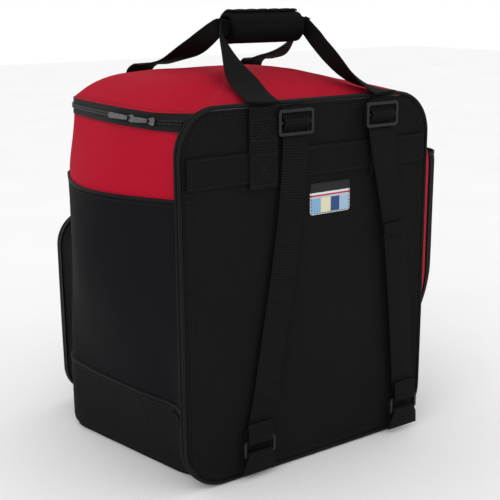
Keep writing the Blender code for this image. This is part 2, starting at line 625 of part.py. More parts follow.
harness_panel()
walls()
side_pocket()
lid()
lid_zip()
front_pocket()
handle_anchors()
handle("near_handle", NEAR_AXIS, NEAR_FEET, 0.0, 0.0, GRIP_CENTRE.y - 0.0045, 0.008, WEBBING_BLACK)
handle("far_handle", FAR_AXIS, FAR_FEET, 0.119, 0.0045, GRIP_CENTRE.y + 0.0025, 0.004, WEBBING_BLACK)
grip()
harness_fittings()
shoulder_strap("left", ((-0.0325, 0.40), (-0.037, 0.34), (-0.045, 0.277), (-0.065, 0.160), (-0.081, 0.075),
                        (-0.0855, 0.06)), HARNESS_Y - 0.0070)
shoulder_strap("right", ((0.0950, 0.40), (0.109, 0.34), (0.122, 0.277), (0.135, 0.160), (0.143, 0.075),
                         (0.1450, 0.06)), HARNESS_Y - 0.0105)
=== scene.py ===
"""Ski boot bag: its cloth, webbing, padding, zips and fittings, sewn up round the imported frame.

The file follows the sewing order: base, walls, guard, side pocket, harness panel, back straps, lid and zip,
front pocket, handles and grip. Metres, +Z up; -Y is the harness side and +Y the front.
"""

from math import ceil, cos, pi, radians, sin, sqrt

import bmesh
import bpy
from mathutils import Matrix, Vector, noise


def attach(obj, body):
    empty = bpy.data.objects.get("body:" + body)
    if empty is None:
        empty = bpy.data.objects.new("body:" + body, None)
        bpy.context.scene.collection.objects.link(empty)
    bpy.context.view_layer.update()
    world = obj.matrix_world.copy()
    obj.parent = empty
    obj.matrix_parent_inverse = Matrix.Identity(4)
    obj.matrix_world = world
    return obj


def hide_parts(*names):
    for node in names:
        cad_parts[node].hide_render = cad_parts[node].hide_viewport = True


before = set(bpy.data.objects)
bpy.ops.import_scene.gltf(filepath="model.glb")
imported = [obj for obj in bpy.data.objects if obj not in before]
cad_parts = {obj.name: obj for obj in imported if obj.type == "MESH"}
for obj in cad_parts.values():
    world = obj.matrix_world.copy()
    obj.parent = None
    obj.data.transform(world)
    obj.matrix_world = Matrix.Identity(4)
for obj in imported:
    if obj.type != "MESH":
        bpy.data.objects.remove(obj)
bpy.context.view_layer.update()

# ---------------------------------------------------------------------------------------------------------
# Studio. A pale painted floor under an even white light tent, with one large soft lamp at the front left.
# The camera stands at the left of the harness side, a little above the bag's middle.

LAMP_WATTS = 14.0
LAMP_SIZE = 2.2
TENT_LIGHT = 1.0
CAMERA_PLACE = (-0.7199, -1.0530, 0.5680)
CAMERA_AIM = (-0.0293, -0.0593, 0.2548)
CAMERA_ROLL = radians(-0.43)
CAMERA_LENS = 71.5


def deselect_all():
    """Leave edit mode and clear the selection, so that the next operator acts only on its own piece."""
    if bpy.context.mode != "OBJECT":
        bpy.ops.object.mode_set(mode="OBJECT")
    for chosen in bpy.context.selected_objects:
        chosen.select_set(False)


def select_only(piece):
    """Make this piece the active one and the only one selected."""
    deselect_all()
    bpy.context.view_layer.objects.active = piece
    piece.select_set(True)


def linear_colour(hex_colour):
    """An sRGB hex colour as linear RGBA."""
    channels = [int(hex_colour[i:i + 2], 16) / 255 for i in (1, 3, 5)]
    return (*[c / 12.92 if c <= 0.04045 else ((c + 0.055) / 1.055) ** 2.4 for c in channels], 1.0)


def new_material(name):
    """An empty node material with its Principled shader, which is returned beside it."""
    made = bpy.data.materials.new(name)
    made.use_nodes = True
    return made, made.node_tree.nodes["Principled BSDF"]


def set_inputs(finish, node, inputs):
    """Give each input of a node a value or another node's output."""
    for key, value in dict(inputs).items():
        if isinstance(value, bpy.types.NodeSocket):
            finish.node_tree.links.new(value, node.inputs[key])
        else:
            node.inputs[key].default_value = value


def add_node(finish, kind, settings=(), inputs=()):
    """Add a node to a material and set it up."""
    made = finish.node_tree.nodes.new(kind)
    for name, value in dict(settings).items():
        setattr(made, name, value)
    set_inputs(finish, made, inputs)
    return made


def maths(finish, operation, *values):
    """The result of a Math node."""
    return add_node(finish, "ShaderNodeMath", {"operation": operation}, enumerate(values)).outputs[0]


def noise_value(finish, spot, scale, detail):
    """A cloudy value between 0 and 1."""
    made = add_node(finish, "ShaderNodeTexNoise", (), {"Vector": spot, "Scale": scale, "Detail": detail})
    return made.outputs["Fac"]


def stripes(finish, spot, direction, pitch, phase=0.0):
    """A value that rises and falls smoothly once in each pitch, which is in metres."""
    waves = {"Vector": spot, "Scale": pi / (10 * pitch), "Phase Offset": phase, "Distortion": 0.0}
    return add_node(finish, "ShaderNodeTexWave", {"bands_direction": direction}, waves).outputs["Fac"]


def map_range(finish, value, limits):
    """The value carried from one range to another; a limit that isn't given is 0 or 1."""
    return add_node(finish, "ShaderNodeMapRange", (), {"Value": value, **limits}).outputs["Result"]


def two_tone(finish, share, dark, light):
    """A colour between two hex colours."""
    ends = {0: share, 6: linear_colour(dark), 7: linear_colour(light)}
    return add_node(finish, "ShaderNodeMix", {"data_type": "RGBA"}, ends).outputs[2]


def dress(finish, shader, colour, height, strength, relief_mm, roughness, shine):
    """Give a shader its colour, relief, roughness and shine, and return its material."""
    bump = add_node(finish, "ShaderNodeBump", (),
                    {"Height": height, "Strength": strength, "Distance": relief_mm / 1000})
    set_inputs(finish, shader, {"Base Color": colour, "Normal": bump.outputs["Normal"],
                                "Roughness": roughness, "Specular IOR Level": shine})
    return finish


def painted_floor():
    """Matt white floor paint, with the faint cloudiness of a rolled coat."""
    finish, shader = new_material("matt white floor paint, rolled")
    spot = add_node(finish, "ShaderNodeTexCoord").outputs["Object"]
    tone = two_tone(finish, noise_value(finish, spot, 3.0, 2.0), "#f4f4f4", "#fafafa")
    set_inputs(finish, shader, {"Base Color": tone, "Roughness": 0.9, "Specular IOR Level": 0.1})
    return finish


deselect_all()
bpy.ops.mesh.primitive_plane_add(size=14.0)
floor = bpy.context.object
floor.name = "studio_floor"
floor.data.materials.append(painted_floor())

world = bpy.data.worlds.new("light tent")
world.use_nodes = True
world.node_tree.nodes["Background"].inputs["Color"].default_value = (1.0, 1.0, 1.0, 1.0)
world.node_tree.nodes["Background"].inputs["Strength"].default_value = TENT_LIGHT
bpy.context.scene.world = world
bpy.context.scene.view_settings.view_transform = "Standard"

lamp_data = bpy.data.lights.new("soft box", "AREA")
lamp_data.energy = LAMP_WATTS
lamp_data.size = LAMP_SIZE
lamp = bpy.data.objects.new("soft box", lamp_data)
lamp.location = (-2.4, -1.5, 2.2)
lamp.rotation_euler = (Vector((0.0, 0.0, 0.3)) - lamp.location).to_track_quat("-Z", "Y").to_euler()
bpy.context.scene.collection.objects.link(lamp)

camera_data = bpy.data.cameras.new("camera")
camera_data.lens = CAMERA_LENS
camera_data.sensor_width = 36.0
camera = bpy.data.objects.new("camera", camera_data)
sight = (Vector(CAMERA_AIM) - Vector(CAMERA_PLACE)).to_track_quat("-Z", "Y").to_matrix()
rolled = (sight @ Matrix.Rotation(CAMERA_ROLL, 3, "Z")).to_4x4()
camera.matrix_world = Matrix.Translation(CAMERA_PLACE) @ rolled
bpy.context.scene.collection.objects.link(camera)
bpy.context.scene.camera = camera

# ---------------------------------------------------------------------------------------------------------
# Side shell: the red wall, one length of coated polyester that runs from the harness panel's left seam round
# the front to its right seam. It is cut 0.43 m high, interlined, and sewn flat at the seams, so it bellies
# out between them.

PANEL_WIDTH = 0.360
PANEL_TOP = 0.445
PANEL_BOTTOM = 0.006
PANEL_CORNER = 0.050
FRONT_Y = 0.150
FRONT_CORNER = 0.055
WALL_START_Y = -0.1377
SEAM_BLEND = 0.050
FOOT_RADIUS = 0.014
LEFT_BELLY = 0.047
LEFT_BELLY_RUN = 0.270
RIGHT_BELLY = 0.060
RIGHT_BELLY_RUN = 0.050
FOOT_NARROWER = 0.028
FOOT_FLARE = 0.200
FOOT_WIDEST = 0.021
FOOT_FADE = 0.300
RIGHT_FOOT_FADE = 0.200
TOP_FADE = 0.100
TOP_BELLY_SHARE = 0.150
HALF_WIDTH = PANEL_WIDTH / 2
SIDE_RUN = FRONT_Y - FRONT_CORNER - WALL_START_Y
CORNER_RUN = FRONT_CORNER * pi / 2
WALL_RUN = 2 * (SIDE_RUN + CORNER_RUN + HALF_WIDTH - FRONT_CORNER)
SHELL_LOW = 0.0033
SHELL_HIGH = 0.432
SHELL_CLOTH = 0.003
WALL_STEP = 0.006


def clamp(value):
    """The value, kept between 0 and 1."""
    return min(max(value, 0.0), 1.0)


def noise_at(x, y, z):
    """Smooth noise between -1 and 1, always the same at one place."""
    return noise.noise(Vector((x, y, z)))


def wall_plan(run):
    """The wall's place and outward direction in plan, by distance from the left seam."""
    if run > WALL_RUN / 2:
        x, y, out_x, out_y = wall_plan(WALL_RUN - run)
        return -x, y, -out_x, out_y
    if run <= SIDE_RUN:
        return -HALF_WIDTH, WALL_START_Y + run, -1.0, 0.0
    past = run - SIDE_RUN
    corner_x = HALF_WIDTH - FRONT_CORNER
    if past <= CORNER_RUN:
        turn = pi - past / FRONT_CORNER
        corner_y = FRONT_Y - FRONT_CORNER
        return -corner_x + FRONT_CORNER * cos(turn), corner_y + FRONT_CORNER * sin(turn), cos(turn), sin(turn)
    return -corner_x + past - CORNER_RUN, FRONT_Y, 0.0, 1.0


def slack(run, height):
    """Soft folds of the wall cloth: none at the seams, the foot and the zip, fullest half way up."""
    from_seam = min(1.0, min(run, WALL_RUN - run) / 0.09)
    from_zip = clamp((0.422 - height) / 0.06)
    from_foot = clamp((height - 0.02) / 0.05)
    broad = noise_at(run * 7.0, height * 5.0, 3.1)
    leaning = noise_at((run + height * 0.6) * 16.0, (height - run * 0.4) * 6.0, 8.4)
    return from_seam * from_zip * from_foot * (0.0030 * broad + 0.0016 * leaning)


def seam_share(run):
    """1 at the wall's two seams, falling to 0 at SEAM_BLEND from them."""
    return max(0.0, 1.0 - min(run, WALL_RUN - run) / SEAM_BLEND) ** 2


def belly(run, height):
    """How far the stuffed wall stands out: fullest half way up, drawn in at the harness foot."""
    y, out_x = wall_plan(run)[1:3]
    past = y - WALL_START_Y
    if run > WALL_RUN / 2:
        steep = 1.0 - (1.0 - min(past / RIGHT_BELLY_RUN, 1.0)) ** 2
        middle = RIGHT_BELLY * steep * 0.5 * (1.0 + cos(pi * min(max(past - 0.120, 0.0) / 0.180, 1.0)))
    else:
        middle = LEFT_BELLY * sin(pi * min(past / LEFT_BELLY_RUN, 1.0))
    foot = min(FOOT_FLARE * past - FOOT_NARROWER, FOOT_WIDEST) * (1.0 - seam_share(run))
    down = clamp((PANEL_TOP - height) / TOP_FADE)
    top_share = TOP_BELLY_SHARE + (1.0 - TOP_BELLY_SHARE) * down * down * (3.0 - 2.0 * down)
    foot_fade = RIGHT_FOOT_FADE if run > WALL_RUN / 2 else FOOT_FADE
    foot_share = 0.5 * (1.0 + cos(pi * min(max(height, 0.0) / foot_fade, 1.0)))
    return (top_share * middle * (1.0 - foot_share) + foot * foot_share) * abs(out_x)


def wall_point(run, height, offset=0.0):
    """A point on the walls, offset outwards: flush with the rounded panel at its seam, bellied beyond it."""
    x, y, out_x, out_y = wall_plan(run)
    near_seam = seam_share(run)
    past_corner = max(PANEL_BOTTOM + PANEL_CORNER - height, height - (PANEL_TOP - PANEL_CORNER), 0.0)
    pulled_in = PANEL_CORNER - sqrt(PANEL_CORNER**2 - min(past_corner, PANEL_CORNER) ** 2)
    foot_reach = min(max(FOOT_RADIUS - height, 0.0), FOOT_RADIUS)
    foot = FOOT_RADIUS - sqrt(FOOT_RADIUS**2 - foot_reach**2)
    out = offset + slack(run, height) + belly(run, height) - foot * (1.0 - near_seam) - pulled_in * near_seam
    return Vector((x + out_x * out, y + out_y * out, height))


def apply_modifiers(piece):
    """Apply the piece's modifiers in their order."""
    select_only(piece)
    for modifier in list(piece.modifiers):
        bpy.ops.object.modifier_apply(modifier=modifier.name)
    piece.select_set(False)


def smooth_by_angle(piece):
    """Shade the piece smooth, except across its sharp edges."""
    select_only(piece)
    bpy.ops.object.shade_smooth_by_angle(angle=radians(50))
    deselect_all()


def lay_cloth(name, across, along, place, thickness, finish, flip=False, edge=0.0):
    """A flat grid laid point by point on its place (u, v), given its thickness inwards and a soft cut edge.

    Its UV map is in metres of cloth, so that a weave keeps its real size however the cloth is laid.
    """
    deselect_all()
    bpy.ops.mesh.primitive_grid_add(x_subdivisions=across, y_subdivisions=along, size=2.0, calc_uvs=True)
    cloth = bpy.context.object
    cloth.name = cloth.data.name = name
    points = {}
    for vertex in cloth.data.vertices:
        u, v = (vertex.co.x + 1) / 2, (vertex.co.y + 1) / 2
        vertex.co = place(u, v)
        points[(round(u * across), round(v * along))] = vertex
    middle_row, middle_column = along // 2, across // 2
    u_metres = [0.0]
    for i in range(across):
        u_metres.append(u_metres[-1] + (points[i + 1, middle_row].co - points[i, middle_row].co).length)
    v_metres = [0.0]
    for j in range(along):
        v_metres.append(v_metres[-1] + (points[middle_column, j + 1].co - points[middle_column, j].co).length)
    uv_of = {vertex.index: (u_metres[i], v_metres[j]) for (i, j), vertex in points.items()}
    uv_map = cloth.data.uv_layers.active
    for loop in cloth.data.loops:
        uv_map.data[loop.index].uv = uv_of[loop.vertex_index]
    if flip:
        cloth.data.flip_normals()
    solid = cloth.modifiers.new("cloth thickness", "SOLIDIFY")
    solid.thickness = thickness
    solid.offset = -1.0
    if edge:
        round_off = cloth.modifiers.new("cut edge", "BEVEL")
        round_off.width = edge
        round_off.segments = 2
        round_off.angle_limit = radians(60)
    apply_modifiers(cloth)
    smooth_by_angle(cloth)
    cloth.data.materials.append(finish)
    return cloth


def wall_cloth(name, start, end, low, high, out, thickness, finish):
    """A length of wall cloth between two distances round the bag and two heights."""
    def place(u, v):
        return wall_point(start + (end - start) * u, low + (high - low) * v, out)
    across, along = (max(2, ceil(size / WALL_STEP)) for size in (end - start, high - low))
    return lay_cloth(name, across, along, place, thickness, finish, flip=True)


def woven_cloth(name, dark, light, thread_mm, relief_mm, roughness, shine, wear=0.25, uv=True):
    """Plain weave: warp and weft threads pass over each other square by square.

    The threads are drawn at thread_mm, which is coarser than the real 0.5 mm yarn so that the weave shows at
    arm's length. Slow patches of rubbed, greyer yarn break up the colour. The colour also follows the relief:
    thread tops are painted lighter and the hollows between threads carry painted shade.
    """
    finish, shader = new_material(name)
    spot = add_node(finish, "ShaderNodeTexCoord").outputs["UV" if uv else "Object"]
    thread = thread_mm / 1000
    warp, weft = (stripes(finish, spot, direction, thread, -pi / 2) for direction in "XY")
    squares = add_node(finish, "ShaderNodeTexChecker", (), {"Vector": spot, "Scale": 1 / thread})
    weave = add_node(finish, "ShaderNodeMix", {"data_type": "FLOAT"},
                     {0: squares.outputs["Fac"], 2: warp, 3: weft})
    patches = noise_value(finish, spot, 9.0, 4.0)
    slub = noise_value(finish, spot, 0.35 / thread, 3.0)
    height = maths(finish, "MULTIPLY_ADD", slub, 0.6, weave.outputs[0])
    # The colour follows the relief height as well as the rubbed patches: painted shade in the hollows of the
    # weave, lighter thread tops; the slow patches are real wear.
    rubbed_and_thread_shade = maths(finish, "MULTIPLY_ADD", patches, wear, height)
    shade = map_range(finish, rubbed_and_thread_shade, {"From Min": 0.25, "From Max": 1.5 + wear})
    gloss = map_range(finish, patches, {"To Min": roughness + 0.08, "To Max": roughness - 0.08})
    return dress(finish, shader, two_tone(finish, shade, dark, light), height, 0.7, relief_mm, gloss, shine)


red_polyester = woven_cloth("polyester cloth, plain woven, red", "#a20f25", "#b41a31", 1.7, 0.35, 0.85, 0.05)
side_shell = wall_cloth("side_shell", 0.0, WALL_RUN, SHELL_LOW, SHELL_HIGH, 0.0, SHELL_CLOTH, red_polyester)
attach(side_shell, "bag")
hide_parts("side_shell")

# ---------------------------------------------------------------------------------------------------------
# Base: a stiff board lies loose inside on the floor cloth, which is the same coated cloth as the guard round
# the foot. The floor is turned up a little at its edge, where it is sewn to the guard.

GUARD_CLOTH = 0.003
FIT = 0.0003
LEFT_TO_FRONT = SIDE_RUN + CORNER_RUN / 2
HALF_CORD = 0.0025


def coated_cloth(name, dark, light, grain_mm, relief_mm, roughness, shine, spot_kind="UV"):
    """Cloth under a thick rubbery coat: pebbled grain with painted shade darkening the pits, and scuffed
    paler patches.

    The grain is drawn about twice its real size, so that it shows at arm's length.
    """
    finish, shader = new_material(name)
    spot = add_node(finish, "ShaderNodeTexCoord").outputs[spot_kind]
    pebbles = add_node(finish, "ShaderNodeTexVoronoi", {"feature": "SMOOTH_F1"},
                       {"Vector": spot, "Scale": 1000 / grain_mm})
    scuffs = noise_value(finish, spot, 14.0, 6.0)
    mottle = noise_value(finish, spot, 260.0, 5.0)
    grain = maths(finish, "MULTIPLY_ADD", mottle, 0.9, pebbles.outputs["Distance"])
    # The colour follows the grain's relief: the pits carry painted shade, and the scuffs are real paler wear.
    wear_and_relief_shade = maths(finish, "MULTIPLY_ADD", scuffs, 0.55, grain)
    share = map_range(finish, wear_and_relief_shade, {"From Min": 0.6, "From Max": 1.6})
    gloss = map_range(finish, scuffs, {"To Min": roughness - 0.1, "To Max": roughness + 0.15})
    return dress(finish, shader, two_tone(finish, share, dark, light), grain, 0.8, relief_mm, gloss, shine)


def refinish(name, finish):
    """Give a CAD piece this material in place of its own."""
    materials = bpy.data.objects[name].data.materials
    materials.clear()
    materials.append(finish)


def rim_point(a, b, height, out, back_arc=False):
    """A point on the closed rim of the bag, by its place on the edge of a square: b = -1 is the harness."""
    if abs(b) >= abs(a) and b < 0:
        left, right = wall_point(0.0, height, out), wall_point(WALL_RUN, height, out)
        spot = left.lerp(right, (a / abs(b) + 1) / 2)
        if back_arc:
            past = min(max(abs(spot.x) - (HALF_WIDTH - PANEL_CORNER), 0.0), PANEL_CORNER)
            spot.z = PANEL_TOP - PANEL_CORNER + sqrt(PANEL_CORNER**2 - past**2)
        return spot
    if abs(b) >= abs(a):
        return wall_point(LEFT_TO_FRONT + (a / b + 1) / 2 * (WALL_RUN - 2 * LEFT_TO_FRONT), height, out)
    run = (b / abs(a) + 1) / 2 * LEFT_TO_FRONT
    return wall_point(run if a < 0 else WALL_RUN - run, height, out)


def floor_place(u, v):
    """A place on the floor cloth, which turns up by a millimetre at its edge."""
    a, b = 2 * u - 1, 2 * v - 1
    reach = max(abs(a), abs(b))
    centre = Vector((0.0, 0.0, 0.0))
    if reach == 0:
        return centre
    spot = centre.lerp(rim_point(a / reach, b / reach, SHELL_LOW, GUARD_CLOTH + FIT), reach)
    return Vector((spot.x, spot.y, 0.0010 * reach**16))


guard_coat = coated_cloth("PVC-coated polyester, pebbled, black", "#0b0b0b", "#1e1d1d", 1.5, 0.30, 0.72, 0.05)
base_panel = lay_cloth("base_panel", 60, 44, floor_place, 0.0022, guard_coat, flip=True, edge=0.0006)
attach(base_panel, "bag")
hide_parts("base_panel")

board_plastic = coated_cloth("polypropylene board, extruded, dark grey", "#2b2b2c", "#38383a", 2.2, 0.10,
                             0.60, 0.25, "Object")
refinish("base_board", board_plastic)

# ---------------------------------------------------------------------------------------------------------
# Outer wrap: a second layer of fine black nylon over the lower part of the left side and the front, with a
# narrow folded binding along its top edge.

WRAP_LOW = 0.1003
WRAP_TOP = 0.346
WRAP_END = WALL_RUN - SIDE_RUN - FRONT_CORNER * radians(30)
WRAP_CLOTH = 0.0020


def mesh_piece(name, bm, finish):
    """A piece made of the bmesh's faces, turned outwards."""
    bmesh.ops.recalc_face_normals(bm, faces=bm.faces)
    mesh = bpy.data.meshes.new(name)
    bm.to_mesh(mesh)
    bm.free()
    made = bpy.data.objects.new(name, mesh)
    bpy.context.scene.collection.objects.link(made)
    made.data.materials.append(finish)
    return made


def ring_mesh(name, rings, finish, closed=False):
    """A body through a row of rings of points, with caps at open ends and a UV map in metres of cloth."""
    count = len(rings[0])
    runs = [0.0]
    for before, after in zip(rings, rings[1:]):
        runs.append(runs[-1] + sum(((a - b).length for a, b in zip(after, before)), 0.0) / count)
    around = [0.0]
    for i in range(count):
        around.append(around[-1] + (rings[0][(i + 1) % count] - rings[0][i]).length)
    bm = bmesh.new()
    uv_layer = bm.loops.layers.uv.new("UVMap")
    rows = [[bm.verts.new(point) for point in ring] for ring in rings]
    last = len(rows) if closed else len(rows) - 1
    end_run = runs[-1] + (rings[0][0] - rings[-1][0]).length
    for j in range(last):
        row, after = rows[j], rows[(j + 1) % len(rows)]
        low, high = runs[j], runs[j + 1] if j + 1 < len(rows) else end_run
        for i in range(count):
            face = bm.faces.new((row[i], row[(i + 1) % count], after[(i + 1) % count], after[i]))
            corners = ((low, around[i]), (low, around[i + 1]), (high, around[i + 1]), (high, around[i]))
            for loop, uv in zip(face.loops, corners):
                loop[uv_layer].uv = uv
    if not closed:
        bm.faces.new(rows[0])
        bm.faces.new(rows[-1])
    made = mesh_piece(name, bm, finish)
    smooth_by_angle(made)
    return made


def rounded_strip(half_width, thickness, lift=0.0):
    """The section of a folded strip: (across, out) points with full, round edges."""
    edge = min(half_width * 0.6, thickness * 0.6)
    return [(-half_width, thickness * 0.35), (-half_width + edge * 0.4, thickness * 0.85),
            (-half_width + edge, thickness), (0.0, thickness + lift), (half_width - edge, thickness),
            (half_width - edge * 0.4, thickness * 0.85), (half_width, thickness * 0.35),
            (half_width - edge * 0.3, 0.0), (-half_width + edge * 0.3, 0.0)]


def wall_strip(name, start, end, height, out, section, finish, step=0.005):
    """A narrow strip sewn round the walls at one height; its section is given as (up, out)."""
    count = max(2, ceil((end - start) / step))
    rings = [[wall_point(start + (end - start) * i / count, height + up, out + off) for up, off in section]
             for i in range(count + 1)]
    return ring_mesh(name, rings, finish)


black_nylon = woven_cloth("nylon cloth, fine plain weave, black", "#0f0e10", "#1c1a1d", 1.5, 0.22, 0.74, 0.04)
outer_wrap = wall_cloth("outer_wrap", 0.0, WRAP_END, WRAP_LOW, WRAP_TOP, FIT + WRAP_CLOTH, WRAP_CLOTH,
                        black_nylon)
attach(outer_wrap, "bag")
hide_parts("outer_wrap")

piping_cloth = woven_cloth("polyester bias tape, twill, black", "#0e0e0e", "#1d1d1d", 1.3, 0.20, 0.65, 0.10)
wrap_binding = wall_strip("wrap_binding", 0.0, WRAP_END, WRAP_TOP + 0.0021, FIT,
                          rounded_strip(0.0021, 0.0029), piping_cloth)
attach(wrap_binding, "bag")
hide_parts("wrap_binding")

# ---------------------------------------------------------------------------------------------------------
# Base guard: heavier coated cloth round the foot of the bag, bound along its top edge, with a short tab of
# webbing sewn on beside the left harness seam.

GUARD_TOP = 0.094

base_guard = wall_cloth("base_guard", 0.0, WALL_RUN, SHELL_LOW, GUARD_TOP, FIT + GUARD_CLOTH, GUARD_CLOTH,
                        guard_coat)
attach(base_guard, "bag")
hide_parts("base_guard")

guard_binding = wall_strip("guard_binding", 0.0, WALL_RUN, GUARD_TOP + 0.0032, FIT,
                           rounded_strip(0.0029, 0.0042), piping_cloth)
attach(guard_binding, "bag")
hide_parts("guard_binding")


def ribbed_webbing(name, dark, light, rib_mm, relief_mm, roughness, shine):
    """Heavy webbing: round ribs lie across it, and fine warp threads run along it over the ribs. The colour
    follows the relief, with painted shade in the grooves and lighter rib tops, over slow paler patches of
    wear.
    """
    finish, shader = new_material(name)
    spot = add_node(finish, "ShaderNodeTexCoord").outputs["UV"]
    ribs = stripes(finish, spot, "X", rib_mm / 1000)
    warp = stripes(finish, spot, "Y", 0.0016)
    body = maths(finish, "MULTIPLY_ADD", warp, 0.35, ribs)
    height = maths(finish, "MULTIPLY_ADD", noise_value(finish, spot, 420.0, 3.0), 0.4, body)
    # Painted shade: the colour follows the rib relief and is darker in the grooves, with slow paler patches
    # of real wear on top.
    wear_and_relief_shade = maths(finish, "MULTIPLY_ADD", noise_value(finish, spot, 18.0, 4.0), 0.6, height)
    share = map_range(finish, wear_and_relief_shade, {"From Min": 0.2, "From Max": 2.1})
    colour = two_tone(finish, share, dark, light)
    return dress(finish, shader, colour, height, 0.9, relief_mm, roughness, shine)


webbing_weave = ribbed_webbing("polypropylene webbing, ribbed, black", "#090909", "#1c1c1c", 3.2, 0.5, 0.74,
                               0.05)
guard_tab = wall_cloth("guard_tab", 0.010, 0.034, 0.034, 0.090, 0.0056, 0.0018, webbing_weave)
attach(guard_tab, "bag")
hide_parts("guard_tab")

# ---------------------------------------------------------------------------------------------------------
# Side pocket: an open-topped patch of the same nylon on the right side, cut wider than its place so that it
# stands off the wall, with a bound mouth.

POCKET_BACK_Y = WALL_START_Y + 0.026
POCKET_FRONT_Y = FRONT_Y - FRONT_CORNER - 0.003
SIDE_POCKET_LOW = 0.103
SIDE_POCKET_TOP = 0.355


def side_pocket_place(u, v, off=0.0031):
    """A place on the side pocket: u runs from its front edge back, v upwards."""
    share = 1 - u
    y = POCKET_BACK_Y + (POCKET_FRONT_Y - POCKET_BACK_Y) * share
    fullness = max(0.0, sin(pi * share)) ** 0.45 if 0.001 < share < 0.999 else 0.0
    depth = 0.020 * fullness * (0.25 + 0.75 * sin(pi * min(0.5, v * 0.9)))
    height = SIDE_POCKET_LOW + (SIDE_POCKET_TOP - SIDE_POCKET_LOW) * v
    return wall_point(WALL_RUN - (y - WALL_START_Y), height, off + depth)


side_pocket = lay_cloth("side_pocket", 34, 42, side_pocket_place, 0.0024, black_nylon, flip=True)
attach(side_pocket, "bag")
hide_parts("side_pocket")

mouth = [side_pocket_place(i / 50, 1.0, 0.0006) for i in range(51)]
mouth_rings = [[spot + Vector((out, 0.0, 0.0032 + up)) for up, out in rounded_strip(0.0029, 0.0032)]
               for spot in mouth]
side_pocket_binding = ring_mesh("side_pocket_binding", mouth_rings, piping_cloth)
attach(side_pocket_binding, "bag")
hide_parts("side_pocket_binding")

# ---------------------------------------------------------------------------------------------------------
# Harness panel: the flat padded back. A heavy woven cover lies over a foam pad and a plain lining, and all
# three are caught in the two corded pipings round the edge.

HARNESS_Y = -0.150
PAD_DEPTH = 0.0067


def rounded_place(a, b, width, low, high, radius):
    """A place (x, z) in an upright rounded rectangle, by its place in a square from -1 to 1."""
    reach = max(abs(a), abs(b))
    middle = (low + high) / 2
    if reach == 0:
        return 0.0, middle
    half_w, half_h = width / 2, (high - low) / 2
    x, z = a / reach * half_w, b / reach * half_h
    core_x = min(max(x, radius - half_w), half_w - radius)
    core_z = min(max(z, radius - half_h), half_h - radius)
    past_x, past_z = x - core_x, z - core_z
    length = sqrt(past_x**2 + past_z**2)
    return reach * (core_x + past_x * radius / length), middle + reach * (core_z + past_z * radius / length)


def panel_place(depth, dish):
    """A place function for one flat layer of the panel, its rim rolled back by dish."""
    def place(u, v):
        a, b = 2 * u - 1, 2 * v - 1
        x, z = rounded_place(a, b, PANEL_WIDTH, PANEL_BOTTOM, PANEL_TOP, PANEL_CORNER)
        give = 0.0005 * noise_at(x * 9.0, z * 9.0, 1.7)
        return Vector((x, HARNESS_Y + depth + dish * (max(abs(a), abs(b)) ** 14 + abs(give) / 0.002), z))
    return place


cordura = woven_cloth("polyester cloth, coarse plain weave, black", "#0d0d0d", "#1f1e1e", 2.0, 0.40, 0.78,
                      0.05, 0.4)
harness_panel = lay_cloth("harness_panel", 72, 88, panel_place(0.0, 0.0018), 0.0030, cordura)
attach(harness_panel, "bag")
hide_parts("harness_panel")

closed_cell = coated_cloth("polyethylene foam, closed cell, grey", "#7d7d7d", "#929292", 1.2, 0.25, 0.9, 0.1)
back_foam = lay_cloth("back_foam", 40, 48, panel_place(0.0050, 0.0), PAD_DEPTH - 0.0016, closed_cell,
                      edge=0.0012)
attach(back_foam, "bag")
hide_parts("back_foam")

lining_cloth = woven_cloth("polyester lining, plain weave, dark grey", "#343434", "#464646", 1.2, 0.15, 0.7,
                           0.2)
back_lining = lay_cloth("back_lining", 40, 48, panel_place(0.0103, 0.0), 0.0015, lining_cloth)
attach(back_lining, "bag")
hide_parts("back_lining")


def seam_outline(width, low, high, radius, steps):
    """Points (x, z, out x, out z) once round an upright rounded rectangle."""
    spots = []
    for i in range(steps):
        turn = 8 * i / steps
        side, share = int(turn // 2), turn % 2 - 1
        a, b = ((share, -1), (1, share), (-share, 1), (-1, -share))[side]
        x, z = rounded_place(a, b, width, low, high, radius)
        inner_x, inner_z = rounded_place(a, b, width - 0.002, low + 0.001, high - 0.001, radius - 0.001)
        length = sqrt((x - inner_x) ** 2 + (z - inner_z) ** 2)
        spots.append((x, z, (x - inner_x) / length, (z - inner_z) / length))
    return spots


PIPING_PROUD = HALF_CORD + FIT
for piece_name, depth in (("panel_piping_outer", HALF_CORD), ("panel_piping_inner", 0.012 - HALF_CORD)):
    rings = []
    for x, z, out_x, out_z in seam_outline(PANEL_WIDTH + 2 * PIPING_PROUD, PANEL_BOTTOM - PIPING_PROUD,
                                           PANEL_TOP + PIPING_PROUD, PANEL_CORNER + PIPING_PROUD, 360):
        ring = []
        for side in range(10):
            angle = 2 * pi * side / 10
            out = HALF_CORD * cos(angle)
            y = HARNESS_Y + depth + HALF_CORD * sin(angle)
            ring.append(Vector((x + out_x * out, y, z + out_z * out)))
        rings.append(ring)
    piping = ring_mesh(piece_name, rings, piping_cloth, closed=True)
    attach(piping, "bag")
    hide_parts(piece_name)

# ---------------------------------------------------------------------------------------------------------
# Panel trim: a ribbed band sewn across the panel takes a trolley handle, and under it sits a small woven
# patch with plain colour blocks and no lettering.

BAND_LOW = 0.360
BAND_HIGH = 0.396
TRIM_Y = HARNESS_Y - FIT


def band_place(u, v):
    """A place on the band, which lies flat and is a little drawn in between its stitches."""
    x = (2 * u - 1) * (HALF_WIDTH - 0.004)
    ripple = 0.0006 * noise_at(x * 22.0, v * 1.5, 5.2)
    return Vector((x, TRIM_Y - 0.0018 - ripple * sin(pi * v), BAND_LOW + (BAND_HIGH - BAND_LOW) * v))


trolley_band = lay_cloth("trolley_band", 90, 10, band_place, 0.0016, webbing_weave, edge=0.0004)
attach(trolley_band, "bag")
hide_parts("trolley_band")

LABEL_X = 0.0245
LABEL_WIDTH = 0.061
LABEL_LOW = 0.312
LABEL_HIGH = 0.350


